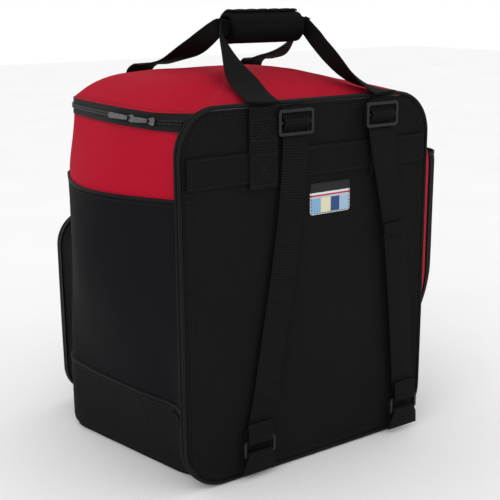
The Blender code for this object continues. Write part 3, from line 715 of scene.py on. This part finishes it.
def patch_material():
    """A woven patch: colour blocks in rows, set by steps across its UV map, over a fine thread relief."""
    finish, shader = new_material("polyester patch, jacquard woven")
    place = add_node(finish, "ShaderNodeTexCoord")
    split = add_node(finish, "ShaderNodeSeparateXYZ", (), {0: place.outputs["UV"]})
    across = maths(finish, "DIVIDE", split.outputs["X"], LABEL_WIDTH)
    upward = maths(finish, "DIVIDE", split.outputs["Y"], LABEL_HIGH - LABEL_LOW)

    def steps(position, colours):
        ramp = add_node(finish, "ShaderNodeValToRGB", (), {"Fac": position})
        ramp.color_ramp.interpolation = "CONSTANT"
        while len(ramp.color_ramp.elements) < len(colours):
            ramp.color_ramp.elements.new(0.5)
        for element, (start, colour) in zip(ramp.color_ramp.elements, colours):
            element.position = start
            element.color = linear_colour(colour)
        return ramp.outputs["Color"]

    grey = "#b9bcc2"
    tiles = steps(across, ((0.0, grey), (0.03, "#7fa9c9"), (0.25, grey), (0.27, "#d9d4b4"), (0.49, grey),
                           (0.51, "#2b4a7c"), (0.73, grey), (0.75, "#9cb7cf"), (0.97, grey)))
    rows = steps(upward, ((0.0, grey), (0.58, "#b3243a"), (0.63, "#d8d9dc"), (0.70, "#1c1c1e")))
    inside = maths(finish, "MULTIPLY", maths(finish, "GREATER_THAN", upward, 0.06),
                   maths(finish, "LESS_THAN", upward, 0.52))
    colour = add_node(finish, "ShaderNodeMix", {"data_type": "RGBA"}, {0: inside, 6: rows, 7: tiles})
    thread = add_node(finish, "ShaderNodeTexWave", {"bands_direction": "DIAGONAL"},
                      {"Vector": place.outputs["UV"], "Scale": 260.0, "Distortion": 1.0})
    return dress(finish, shader, colour.outputs[2], thread.outputs["Fac"], 0.5, 0.2, 0.6, 0.25)


def patch_place(u, v):
    """A place on the patch, its corners rounded and its edge pressed down by the stitching."""
    a, b = 2 * u - 1, 2 * v - 1
    x, z = rounded_place(a, b, LABEL_WIDTH, LABEL_LOW, LABEL_HIGH, 0.004)
    return Vector((LABEL_X + x, TRIM_Y - 0.0010 + 0.0005 * max(abs(a), abs(b)) ** 12, z))


label_patch = lay_cloth("label_patch", 44, 28, patch_place, 0.0008, patch_material())
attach(label_patch, "bag")
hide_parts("label_patch")

# ---------------------------------------------------------------------------------------------------------
# Handle anchors: the near handle's two webbing ends are sewn flat to the panel down to below the band, and
# the far handle's ends to the front wall. Crossed boxes of stitching hold them.

NEAR_FEET = (-0.075, 0.105)
FAR_FEET = (-0.060, 0.125)
ANCHOR_Y = HARNESS_Y - 0.0036
FAR_ANCHOR_Y = FRONT_Y + 0.0042
WEBBING = 0.040
WEBBING_THICK = 0.0022


def smooth_line(points, between):
    """The points with some more put between each pair, on a smooth curve through them all."""
    line = []
    for i in range(len(points) - 1):
        before, here = points[max(i - 1, 0)], points[i]
        after, next_one = points[i + 1], points[min(i + 2, len(points) - 1)]
        for step in range(between):
            t = step / between
            line.append(here * (1.5 * t**3 - 2.5 * t**2 + 1) + after * (-1.5 * t**3 + 2 * t**2 + 0.5 * t)
                        + before * (-0.5 * t**3 + t**2 - 0.5 * t) + next_one * (0.5 * t**3 - 0.5 * t**2))
    return line + [points[-1]]


def webbing_piece(name, points, sides, widths, thickness, finish, between=5, camber=0.0):
    """A length of webbing through the points, with soft edges; sides are the directions across its width."""
    line = smooth_line(points, between)
    across_line = smooth_line(sides, between)
    width_line = [w.x for w in smooth_line([Vector((w, 0.0, 0.0)) for w in widths], between)]
    rings = []
    for i, point in enumerate(line):
        along = line[min(i + 1, len(line) - 1)] - line[max(i - 1, 0)]
        across = across_line[i] - along * (across_line[i].dot(along) / along.length_squared)
        across.normalize()
        normal = along.cross(across).normalized()
        half, thick = width_line[i] / 2, thickness / 2
        edge = min(0.0012, half * 0.2)
        section = [(-half, 0.0), (-half + edge * 0.4, thick * 0.8), (-half + edge, thick),
                   (0.0, thick + camber), (half - edge, thick), (half - edge * 0.4, thick * 0.8), (half, 0.0),
                   (half - edge * 0.4, -thick * 0.8), (half - edge, -thick), (0.0, -thick + camber),
                   (-half + edge, -thick), (-half + edge * 0.4, -thick * 0.8)]
        rings.append([point + across * a + normal * n for a, n in section])
    return ring_mesh(name, rings, finish)


X_WAYS = Vector((1.0, 0.0, 0.0))
for side, near_x, far_x in (("left", NEAR_FEET[0], FAR_FEET[0]), ("right", NEAR_FEET[1], FAR_FEET[1])):
    near_line = [Vector((near_x, ANCHOR_Y, z)) for z in (0.353, 0.380, 0.410, 0.435)]
    near_line.append(Vector((near_x, ANCHOR_Y - 0.0010, 0.4455)))
    far_line = [Vector((far_x, FAR_ANCHOR_Y, z)) for z in (0.300, 0.320, 0.340, 0.354)]
    for name, line in (("near_anchor_" + side, near_line), ("far_anchor_" + side, far_line)):
        anchor = webbing_piece(name, line, [X_WAYS] * len(line), [WEBBING] * len(line), WEBBING_THICK,
                               webbing_weave, 3)
        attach(anchor, "bag")
        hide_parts(name)

# ---------------------------------------------------------------------------------------------------------
# Back straps: 36 mm ribbed webbing from a slider buckle at the top of the panel to a ring at its foot. Each
# ring hangs on a short tab that spreads where it is caught in the bottom seam.

STRAP_WIDTH = 0.036
BUCKLE_HEIGHT = 0.426
RING_HEIGHT = 0.040
RING_BAR = 0.0035
STRAP_TURN = 0.0038
STRAP_LINES = (
    ("left", HARNESS_Y - 0.0070, ((-0.0325, 0.40), (-0.037, 0.34), (-0.045, 0.277), (-0.065, 0.160),
                                  (-0.081, 0.075), (-0.0855, 0.06))),
    ("right", HARNESS_Y - 0.0105, ((0.0950, 0.40), (0.109, 0.34), (0.122, 0.277), (0.135, 0.160),
                                   (0.143, 0.075), (0.1450, 0.06))),
)
moulded_acetal = coated_cloth("acetal, injection moulded, black", "#0e0e0e", "#161616", 1.6, 0.03, 0.40, 0.30,
                              "Object")

for side, lowest_y, line in STRAP_LINES:
    buckle_y = lowest_y - 0.0005
    top_x, end_x = line[0][0], line[-1][0]
    strap = [Vector((top_x, buckle_y + shift, BUCKLE_HEIGHT + above))
             for above, shift in ((0.0175, 0.0042), (0.0135, 0.0032), (0.0095, 0.0032), (0.0055, 0.0006),
                                  (0.0025, -0.0032), (-0.0025, -0.0032), (-0.0055, 0.0006), (-0.0095, 0.0032),
                                  (-0.0140, 0.0032), (-0.025, 0.001))]
    strap += [Vector((x, lowest_y + 0.0006, z)) for x, z in line[1:-1]]
    bar_z = RING_HEIGHT + 0.0110 - RING_BAR / 2
    back_y = lowest_y + STRAP_TURN
    strap += [Vector((end_x, back_y - 0.001, bar_z + 0.012)), Vector((end_x, back_y, bar_z + 0.003))]
    quarter_turns = [(STRAP_TURN * cos(step * pi / 4), STRAP_TURN * sin(step * pi / 4)) for step in range(5)]
    strap += [Vector((end_x, lowest_y + behind, bar_z - under)) for behind, under in quarter_turns]
    strap += [Vector((end_x, lowest_y - STRAP_TURN, bar_z + 0.006)),
              Vector((end_x, lowest_y - STRAP_TURN * 0.8, bar_z + 0.024))]
    strap_piece = webbing_piece("shoulder_strap_" + side, strap, [X_WAYS] * len(strap),
                                [STRAP_WIDTH] * len(strap), 0.0018, webbing_weave, 4)
    low_bar = RING_HEIGHT - 0.0110 + RING_BAR / 2
    tab = [Vector((end_x, lowest_y - STRAP_TURN * 0.2, 0.0075)),
           Vector((end_x, lowest_y - STRAP_TURN, low_bar - 0.006))]
    tab += [Vector((end_x, lowest_y - before, low_bar + above)) for before, above in quarter_turns]
    tab.append(Vector((end_x, lowest_y + STRAP_TURN * 0.9, low_bar - 0.008)))
    tab_widths = [0.050, 0.042] + [STRAP_WIDTH] * 5 + [0.040]
    tab_piece = webbing_piece("strap_tab_" + side, tab, [X_WAYS] * len(tab), tab_widths, 0.0016, cordura, 4)
    for piece, name, slot_name in ((strap_piece, "shoulder_strap_", "black_webbing"),
                                   (tab_piece, "strap_tab_", "black_polyester")):
        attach(piece, "bag")
        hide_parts(name + side)
    for name in ("strap_buckle_", "strap_ring_"):
        refinish(name + side, moulded_acetal)

# A loose fold of webbing holds the slack of the right strap, half way down.
keeper_y = STRAP_LINES[1][1] - 0.0024
keeper_line = [Vector((0.1195, keeper_y + 0.0006, 0.290)), Vector((0.1200, keeper_y - 0.0010, 0.286)),
               Vector((0.1212, keeper_y - 0.0012, 0.278)), Vector((0.1222, keeper_y + 0.0006, 0.272))]
strap_keeper = webbing_piece("strap_keeper", keeper_line, [Vector((0.985, 0.0, -0.17))] * 4, [0.040] * 4,
                             0.0016, webbing_weave, 4)
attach(strap_keeper, "bag")

# ---------------------------------------------------------------------------------------------------------
# Lid: a soft crowned top of the red cloth over a thin pad. It is fullest near its edge and pulls in at the
# zip, and its harness edge follows the panel's rounded top.

LID_LOW = 0.442
LID_RISE = 0.0335
LID_DIP = 0.36
HINGE_FULLNESS = 1.6
LID_CLOTH = 0.0030


def lid_place(u, v):
    """A place on the lid, from the middle (0.5, 0.5) out to the rim on the edge of the square."""
    a, b = 2 * u - 1, 2 * v - 1
    reach = max(abs(a), abs(b))
    centre = Vector((0.0, 0.0, LID_LOW + 0.002))
    if reach < 1e-6:
        return centre + Vector((0.0, 0.0, LID_RISE))
    rim = rim_point(a / reach, b / reach, LID_LOW, 0.0, back_arc=True)
    spot = rim.lerp(centre, 1 - reach)
    to_right = clamp((spot.x - 0.03) / 0.11)
    lower = 1.0 - LID_DIP * to_right * to_right * (3 - 2 * to_right)
    fullness = 3.2 + 2.2 * clamp(-spot.x / 0.14)
    fullness += (HINGE_FULLNESS - fullness) * max(0.0, -b / reach) ** 4
    spot.z += LID_RISE * lower * (1.0 - reach**fullness)
    loose = min(1.0, (1 - reach) / 0.12)
    spot.z += loose * (0.0022 * noise_at(spot.x * 9.0, spot.y * 12.0, 2.6)
                       + 0.0007 * noise_at(spot.x * 34.0, spot.y * 22.0, 6.1))
    return spot


lid = lay_cloth("lid", 110, 90, lid_place, LID_CLOTH, red_polyester)
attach(lid, "lid")
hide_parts("lid")

# ---------------------------------------------------------------------------------------------------------
# Lid zip: two knitted tapes, each with half of a nylon coil along its edge, run round the three open sides.
# Two die-cast sliders meet at the left, each with a long puller.

ZIP_HEIGHT = 0.4325
COIL_PITCH = 0.0030

zip_knit = woven_cloth("polyester zip tape, knitted, black", "#0d0d0d", "#1b1b1b", 1.2, 0.25, 0.60, 0.12)
zip_nylon = coated_cloth("nylon coil, drawn, black", "#101010", "#181818", 1.5, 0.03, 0.35, 0.35, "Object")


def coil_mesh(name, spots, finish):
    """The teeth of half a coil: one small rounded block at each place (middle, along, out, across)."""
    bm = bmesh.new()
    outline = ((-0.5, -0.5), (-0.5, 0.3), (-0.2, 0.5), (0.2, 0.5), (0.5, 0.3), (0.5, -0.5))
    for middle, along, out, across in spots:
        ends = []
        for side in (-0.5, 0.5):
            end = middle + across * (side * 0.0021)
            ends.append([bm.verts.new(end + along * (a * 0.0019) + out * (o * 0.0012)) for a, o in outline])
        count = len(outline)
        for i in range(count):
            bm.faces.new((ends[0][i], ends[0][(i + 1) % count], ends[1][(i + 1) % count], ends[1][i]))
        bm.faces.new(ends[0])
        bm.faces.new(ends[1])
    return mesh_piece(name, bm, finish)


ZIP_START = 0.004
for half, body, towards in (("lower", "bag", 1), ("upper", "lid", -1)):
    mating = ZIP_HEIGHT - towards * FIT
    section = [(-towards * 0.0092, 0.0), (-towards * 0.0092, 0.0010), (-towards * 0.0022, 0.0011),
               (-towards * 0.0018, 0.0017), (-towards * 0.0006, 0.0018), (0.0, 0.0012), (0.0, 0.0)]
    tape = wall_strip("lid_zip_" + half, ZIP_START, WALL_RUN - ZIP_START, mating, FIT, section, zip_knit)
    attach(tape, body)
    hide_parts("lid_zip_" + half)
    spots = []
    for i in range(int((WALL_RUN - 2 * ZIP_START) / COIL_PITCH)):
        run = ZIP_START + (i + (0.25 if towards > 0 else 0.75)) * COIL_PITCH
        here = wall_point(run, mating - towards * 0.0011, FIT + 0.0022)
        along = (wall_point(run + 0.001, mating - towards * 0.0011, FIT + 0.0022) - here).normalized()
        across = (wall_point(run, mating, FIT + 0.0022) - here).normalized()
        spots.append((here, along, along.cross(across).normalized() * towards, across))
    coil = coil_mesh("lid_coil_" + half, spots, zip_nylon)
    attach(coil, body)

zip_alloy, alloy_shader = new_material("zinc alloy, die-cast and black nickel plated")
alloy_spot = add_node(zip_alloy, "ShaderNodeTexCoord").outputs["Object"]
alloy_wear = noise_value(zip_alloy, alloy_spot, 260.0, 4.0)
set_inputs(zip_alloy, alloy_shader, {
    "Roughness": map_range(zip_alloy, alloy_wear, {"To Min": 0.18, "To Max": 0.42}),
    "Base Color": two_tone(zip_alloy, alloy_wear, "#3a3a3c", "#7c7c80"),
    "Metallic": 1.0,
})
for name in ("lid_slider_rear", "lid_slider_front", "lid_puller_rear", "lid_puller_front", "pocket_slider",
             "pocket_puller"):
    refinish(name, zip_alloy)

# ---------------------------------------------------------------------------------------------------------
# Front pocket: nylon bellows stand out from the front wall, and a padded face closes them, zipped all round.

POCKET_WIDTH = 0.350
POCKET_BOTTOM = 0.008
POCKET_TOP = 0.275
POCKET_CORNER = 0.045
POCKET_FOOT = 0.0058
POCKET_FAR = FRONT_Y + POCKET_FOOT + 0.042
POCKET_BULGE = 0.016


def front_wall_y(x, height):
    """How far forward the front of the walls stands at this place."""
    low, high = SIDE_RUN * 0.9, WALL_RUN - SIDE_RUN * 0.9
    for step in range(30):
        middle = (low + high) / 2
        if wall_point(middle, height, POCKET_FOOT).x < x:
            low = middle
        else:
            high = middle
    return wall_point(low, height, POCKET_FOOT).y


bellows_rings = []
for x, z, out_x, out_z in seam_outline(POCKET_WIDTH, POCKET_BOTTOM, POCKET_TOP, POCKET_CORNER, 240):
    seam_y = front_wall_y(x, z)
    ring = []
    for layer, steps in ((0.0, range(9)), (0.0024, range(8, -1, -1))):
        for step in steps:
            share = step / 8
            pleat = layer + 0.0035 * sin(pi * share) ** 2
            y = seam_y + (POCKET_FAR - seam_y) * share
            ring.append(Vector((x - out_x * pleat, y, z - out_z * pleat)))
    bellows_rings.append(ring)
pocket_bellows = ring_mesh("pocket_bellows", bellows_rings, black_nylon, closed=True)
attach(pocket_bellows, "bag")
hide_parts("pocket_bellows")

tape_rings = []
tooth_spots = []
TAPE_PROUD = 0.0003
tape_line = seam_outline(POCKET_WIDTH, POCKET_BOTTOM, POCKET_TOP, POCKET_CORNER, 400)
for i, (x, z, out_x, out_z) in enumerate(tape_line):
    out = Vector((out_x, 0.0, out_z))
    edge = Vector((x, 0.0, z)) + out * TAPE_PROUD
    tape_rings.append([edge + out * up + Vector((0.0, POCKET_FAR - 0.010 + along, 0.0))
                       for along, up in ((0.0, 0.0), (0.0, 0.0010), (0.0078, 0.0010), (0.0082, 0.0015),
                                         (0.0098, 0.0015), (0.0100, 0.0))])
    next_x, next_z = tape_line[(i + 1) % len(tape_line)][:2]
    along_edge = Vector((next_x - x, 0.0, next_z - z)).normalized()
    tooth_spots.append((edge + out * 0.0009 + Vector((0.0, POCKET_FAR - 0.0011, 0.0)), along_edge, out,
                        Vector((0.0, 1.0, 0.0))))
pocket_zip = ring_mesh("pocket_zip", tape_rings, zip_knit, closed=True)
pocket_coil = coil_mesh("pocket_coil", tooth_spots, zip_nylon)
for piece in (pocket_zip, pocket_coil):
    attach(piece, "bag")
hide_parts("pocket_zip")


def pocket_face_place(u, v):
    """A place on the padded pocket face, crowned and a little uneven."""
    a, b = 2 * u - 1, 2 * v - 1
    reach = max(abs(a), abs(b))
    x, z = rounded_place(a, b, POCKET_WIDTH, POCKET_BOTTOM, POCKET_TOP, POCKET_CORNER)
    loose = 0.0018 * noise_at(x * 12.0, z * 12.0, 9.3) * min(1.0, (1 - reach) / 0.15)
    return Vector((x, POCKET_FAR + FIT + 0.0025 + POCKET_BULGE * (1 - reach**2.6) + loose, z))


pocket_face = lay_cloth("pocket_face", 90, 70, pocket_face_place, 0.0025, black_nylon, flip=True)
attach(pocket_face, "pocket_face")
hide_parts("pocket_face")

# ---------------------------------------------------------------------------------------------------------
# Carry handles: two loops of 40 mm webbing that narrow and turn as they rise into the padded grip. The near
# one starts at the harness edge, and the far one climbs the front wall first.

GRIP_CENTRE = Vector((0.015, -0.025, 0.527))
GRIP_LENGTH = 0.108
FOLDED_WIDTH = 0.020
HANDLES = (
    ("near_handle", NEAR_FEET, HARNESS_Y - 0.0055, 0.4505, 0.0, 0.0, GRIP_CENTRE.y - 0.0045, 0.015, 1.0),
    ("far_handle", FAR_FEET, FRONT_Y + 0.0060, 0.356, 0.119, 0.0045, GRIP_CENTRE.y + 0.0025, 0.014, 0.0),
)
for name, feet, foot_y, foot_z, rise, knee_out, grip_y, sag, edge_on in HANDLES:
    legs = []
    for side, x in zip((-1, 1), feet):
        knee = Vector((x, foot_y + knee_out, foot_z + rise))
        inside = Vector((GRIP_CENTRE.x + side * (GRIP_LENGTH / 2 + 0.001), grip_y, GRIP_CENTRE.z))
        grip_end = inside + Vector((side * 0.011, 0.0, 0.0))
        leg = [(Vector((x, foot_y + knee_out * share, foot_z + rise * share)), 0.0, WEBBING)
               for share in ((0.0, 0.5, 0.88) if rise else ())]
        for share in (0.10 if rise else 0.0, 0.25, 0.50, 0.74, 0.88):
            low = Vector((0.0, 0.0, -sag)) * sin(pi * share)
            turn = max(0.0, 2 * share - 1)
            twist = max(turn * 0.75, share * 1.05 * edge_on if side > 0 else 0.0)
            leg.append((knee.lerp(grip_end, share) + low, twist, WEBBING + (FOLDED_WIDTH - WEBBING) * turn))
        leg.append((grip_end + Vector((-0.003 * side, 0.0, 0.001)), 0.90, FOLDED_WIDTH + 0.001))
        leg.append((inside, 1.0, FOLDED_WIDTH))
        legs.append(leg)
    left, right = legs
    line = left + right[::-1]
    sides = [Vector((1.0 - twist, 0.0, -twist)).normalized() for point, twist, width in left]
    if edge_on:
        sides += [Vector((1.0 - twist, 0.45 * sin(pi * twist), -twist)).normalized()
                  for point, twist, width in reversed(right)]
    else:
        sides += [Vector((twist - 1.0, 0.0, -twist)).normalized() for point, twist, width in reversed(right)]
    handle = webbing_piece(name, [point for point, twist, width in line], sides,
                           [width for point, twist, width in line], WEBBING_THICK, webbing_weave, 6, 0.0004)
    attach(handle, name)
    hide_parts(name)

# ---------------------------------------------------------------------------------------------------------
# Grip: a stuffed sleeve sewn to the near handle and open towards the front, where the far handle lies in,
# with a padded flap over its top that closes it.

STUFFING_PRESSURE = 4.0
MOST_SWELL = 0.0016


def stuffed_piece(name, node, voxel):
    """A CAD solid as stuffed cloth: it swells under pressure by a capped amount and is then smoothed."""
    deselect_all()
    mesh = bpy.data.objects[node].data.copy()
    mesh.name = name
    merging = bmesh.new()
    merging.from_mesh(mesh)
    bmesh.ops.remove_doubles(merging, verts=merging.verts, dist=1e-5)
    merging.to_mesh(mesh)
    merging.free()
    made = bpy.data.objects.new(name, mesh)
    bpy.context.scene.collection.objects.link(made)
    remesh = made.modifiers.new("even mesh", "REMESH")
    remesh.mode = "VOXEL"
    remesh.voxel_size = voxel
    apply_modifiers(made)
    start = [vertex.co.copy() for vertex in made.data.vertices]
    cloth = made.modifiers.new("stuffing", "CLOTH")
    cloth.settings.use_pressure = True
    cloth.settings.uniform_pressure_force = STUFFING_PRESSURE
    cloth.settings.effector_weights.gravity = 0.0
    cloth.settings.quality = 4
    cloth.point_cache.frame_start, cloth.point_cache.frame_end = 1, 20
    for frame_number in range(1, 21):
        bpy.context.scene.frame_set(frame_number)
    apply_modifiers(made)
    bpy.context.scene.frame_set(1)
    for vertex, before in zip(made.data.vertices, start):
        moved = vertex.co - before
        if moved.length > MOST_SWELL:
            vertex.co = before + moved * (MOST_SWELL / moved.length)
    soften = made.modifiers.new("soft edges", "SMOOTH")
    soften.factor = 0.5
    soften.iterations = 3
    finer = made.modifiers.new("finer", "SUBSURF")
    finer.levels = finer.render_levels = 1
    apply_modifiers(made)
    made.data.materials.clear()
    for face in made.data.polygons:
        face.use_smooth = True
    return made


grip_cloth = woven_cloth("nylon cloth, brushed, black", "#090909", "#171717", 1.6, 0.25, 0.85, 0.04, 0.2,
                         False)
grip_wrap = stuffed_piece("grip_wrap", "grip_wrap", 0.0022)
grip_wrap.data.materials.append(grip_cloth)
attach(grip_wrap, "near_handle")
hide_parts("grip_wrap")

FLAP_IN = 0.0196
flap_rings = []
for i in range(41):
    x = GRIP_CENTRE.x + (GRIP_LENGTH / 2 - 0.004) * (i / 20 - 1)
    outer_arc = [(FLAP_IN + 0.0024 + 0.0004 * sin(i * 0.9 + k * 0.7), radians(108 - 170 * k / 24))
                 for k in range(25)]
    inner_arc = [(FLAP_IN + 0.0002, angle) for _, angle in reversed(outer_arc)]
    flap_rings.append([Vector((x, GRIP_CENTRE.y + radius * cos(angle), GRIP_CENTRE.z + radius * sin(angle)))
                       for radius, angle in outer_arc + inner_arc])
flap_cloth = woven_cloth("nylon cloth, brushed, folded, black", "#0a0a0a", "#191919", 1.6, 0.25, 0.80, 0.05,
                         0.2)
grip_flap = ring_mesh("grip_flap", flap_rings, flap_cloth)
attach(grip_flap, "grip_flap")
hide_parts("grip_flap")

# ---------------------------------------------------------------------------------------------------------
# Stitching: bonded polyester thread in lockstitch, 4.2 mm to the stitch. Rows follow the panel's edge, the
# band, the patch, the wall's top edges and the lid, and boxes with crosses hold the handles' ends. The thread
# is drawn 0.8 mm thick, more than the real 0.5 mm, so that it shows.

STITCH_PITCH = 0.0042
STITCH_LENGTH = 0.0030
THREAD = 0.00040


def stitch_row(line):
    """Stitches along a line of (point, outward direction) places: (middle, along, out) for each."""
    places = []
    carried = 0.0
    for (here, out), (after, _) in zip(line, line[1:]):
        length = (after - here).length
        if length < 1e-7:
            continue
        while carried <= length:
            places.append((here.lerp(after, carried / length), (after - here) / length, out))
            carried += STITCH_PITCH
        carried -= length
    return places


def stitch_mesh(name, places, finish):
    """One small long bead of thread at each place, sunk to its middle in the cloth."""
    bm = bmesh.new()
    for middle, along, out in places:
        across = along.cross(out).normalized()
        tips = [bm.verts.new(middle + along * (side * STITCH_LENGTH / 2)) for side in (-1, 1)]
        belts = []
        for share in (-0.3, 0.3):
            belt = middle + along * (share * STITCH_LENGTH)
            belts.append([bm.verts.new(belt + across * (THREAD * cos(turn * pi / 2))
                                       + out * (THREAD * sin(turn * pi / 2))) for turn in range(4)])
        for i in range(4):
            bm.faces.new((tips[0], belts[0][i], belts[0][(i + 1) % 4]))
            bm.faces.new((tips[1], belts[1][i], belts[1][(i + 1) % 4]))
            bm.faces.new((belts[0][i], belts[0][(i + 1) % 4], belts[1][(i + 1) % 4], belts[1][i]))
    made = mesh_piece(name, bm, finish)
    for face in made.data.polygons:
        face.use_smooth = True
    return made


TO_BACK = Vector((0.0, -1.0, 0.0))
TO_FRONT = Vector((0.0, 1.0, 0.0))


def flat_row(points, depth, out=TO_BACK):
    """A row of stitches through points (x, z) on an upright face."""
    return stitch_row([(Vector((x, depth, z)), out) for x, z in points])


def crossed_box(x, half, low, high, depth, out=TO_BACK):
    """The box and cross that holds the end of a webbing strap."""
    corners = ((x - half, low), (x + half, low), (x + half, high), (x - half, high))
    rows = flat_row(corners + corners[:1], depth, out)
    rows += flat_row((corners[0], corners[2]), depth, out)
    return rows + flat_row((corners[1], corners[3]), depth, out)


def wall_row(start, end, height, out):
    """A row of stitches round the walls at one height."""
    count = max(2, ceil((end - start) / 0.004))
    line = []
    for i in range(count + 1):
        run = start + (end - start) * i / count
        outwards = Vector((*wall_plan(run)[2:], 0.0))
        line.append((wall_point(run, height, out), outwards))
    return stitch_row(line)


thread_black = coated_cloth("polyester thread, bonded, black", "#151515", "#232323", 1.0, 0.02, 0.50, 0.20,
                            "Object")
panel_rows = []
for inset in (0.0055, 0.0085):
    outline = seam_outline(PANEL_WIDTH - 2 * inset, PANEL_BOTTOM + inset, PANEL_TOP - inset,
                           PANEL_CORNER - inset, 300)
    spots = [(x, z) for x, z, out_x, out_z in outline]
    panel_rows += flat_row(spots + spots[:1], HARNESS_Y)
for height in (BAND_LOW + 0.0025, BAND_HIGH - 0.0025):
    panel_rows += flat_row(((-HALF_WIDTH + 0.008, height), (HALF_WIDTH - 0.008, height)), TRIM_Y - 0.0018)
for x in (-HALF_WIDTH + 0.010, HALF_WIDTH - 0.010):
    panel_rows += flat_row(((x, BAND_LOW + 0.003), (x, BAND_HIGH - 0.003)), TRIM_Y - 0.0018)
patch_line = seam_outline(LABEL_WIDTH - 0.003, LABEL_LOW + 0.0015, LABEL_HIGH - 0.0015, 0.003, 60)
patch_spots = [(LABEL_X + x, z) for x, z, out_x, out_z in patch_line]
panel_rows += flat_row(patch_spots + patch_spots[:1], TRIM_Y - 0.0009)
for x in NEAR_FEET:
    panel_rows += crossed_box(x, 0.0165, 0.357, 0.392, ANCHOR_Y - 0.0011)
    panel_rows += crossed_box(x, 0.0165, 0.408, 0.432, ANCHOR_Y - 0.0011)
for x in FAR_FEET:
    panel_rows += crossed_box(x, 0.0165, 0.304, 0.345, FAR_ANCHOR_Y + 0.0011, TO_FRONT)
for _, lowest_y, line in STRAP_LINES:
    end_x = line[-1][0]
    for height in (0.0150, 0.0185):
        panel_rows += flat_row(((end_x - 0.018, height), (end_x + 0.018, height)), lowest_y - 0.0040)
panel_stitches = stitch_mesh("panel_stitches", panel_rows, thread_black)

wall_rows = wall_row(0.004, WRAP_END - 0.002, WRAP_TOP - 0.0030, FIT + WRAP_CLOTH)
wall_rows += wall_row(0.004, WALL_RUN - 0.004, GUARD_TOP - 0.0030, FIT + GUARD_CLOTH)
wall_rows += wall_row(0.012, 0.032, 0.038, 0.0056) + wall_row(0.012, 0.032, 0.086, 0.0056)
wall_rows += wall_row(0.006, WALL_RUN - 0.006, 0.4205, 0.0)
wall_stitches = stitch_mesh("wall_stitches", wall_rows, thread_black)
for piece in (panel_stitches, wall_stitches):
    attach(piece, "bag")

lid_line = []
for i in range(181):
    turn = 6 * i / 180
    side, share = min(int(turn // 2), 2), turn - 2 * min(int(turn // 2), 2) - 1
    a, b = ((-1, share), (share, 1), (1, -share))[side]
    lid_line.append((lid_place((a * 0.985 + 1) / 2, (b * 0.985 + 1) / 2), Vector((a, b, 1.0)).normalized()))
lid_stitches = stitch_mesh("lid_stitches", stitch_row(lid_line), thread_black)
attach(lid_stitches, "lid")
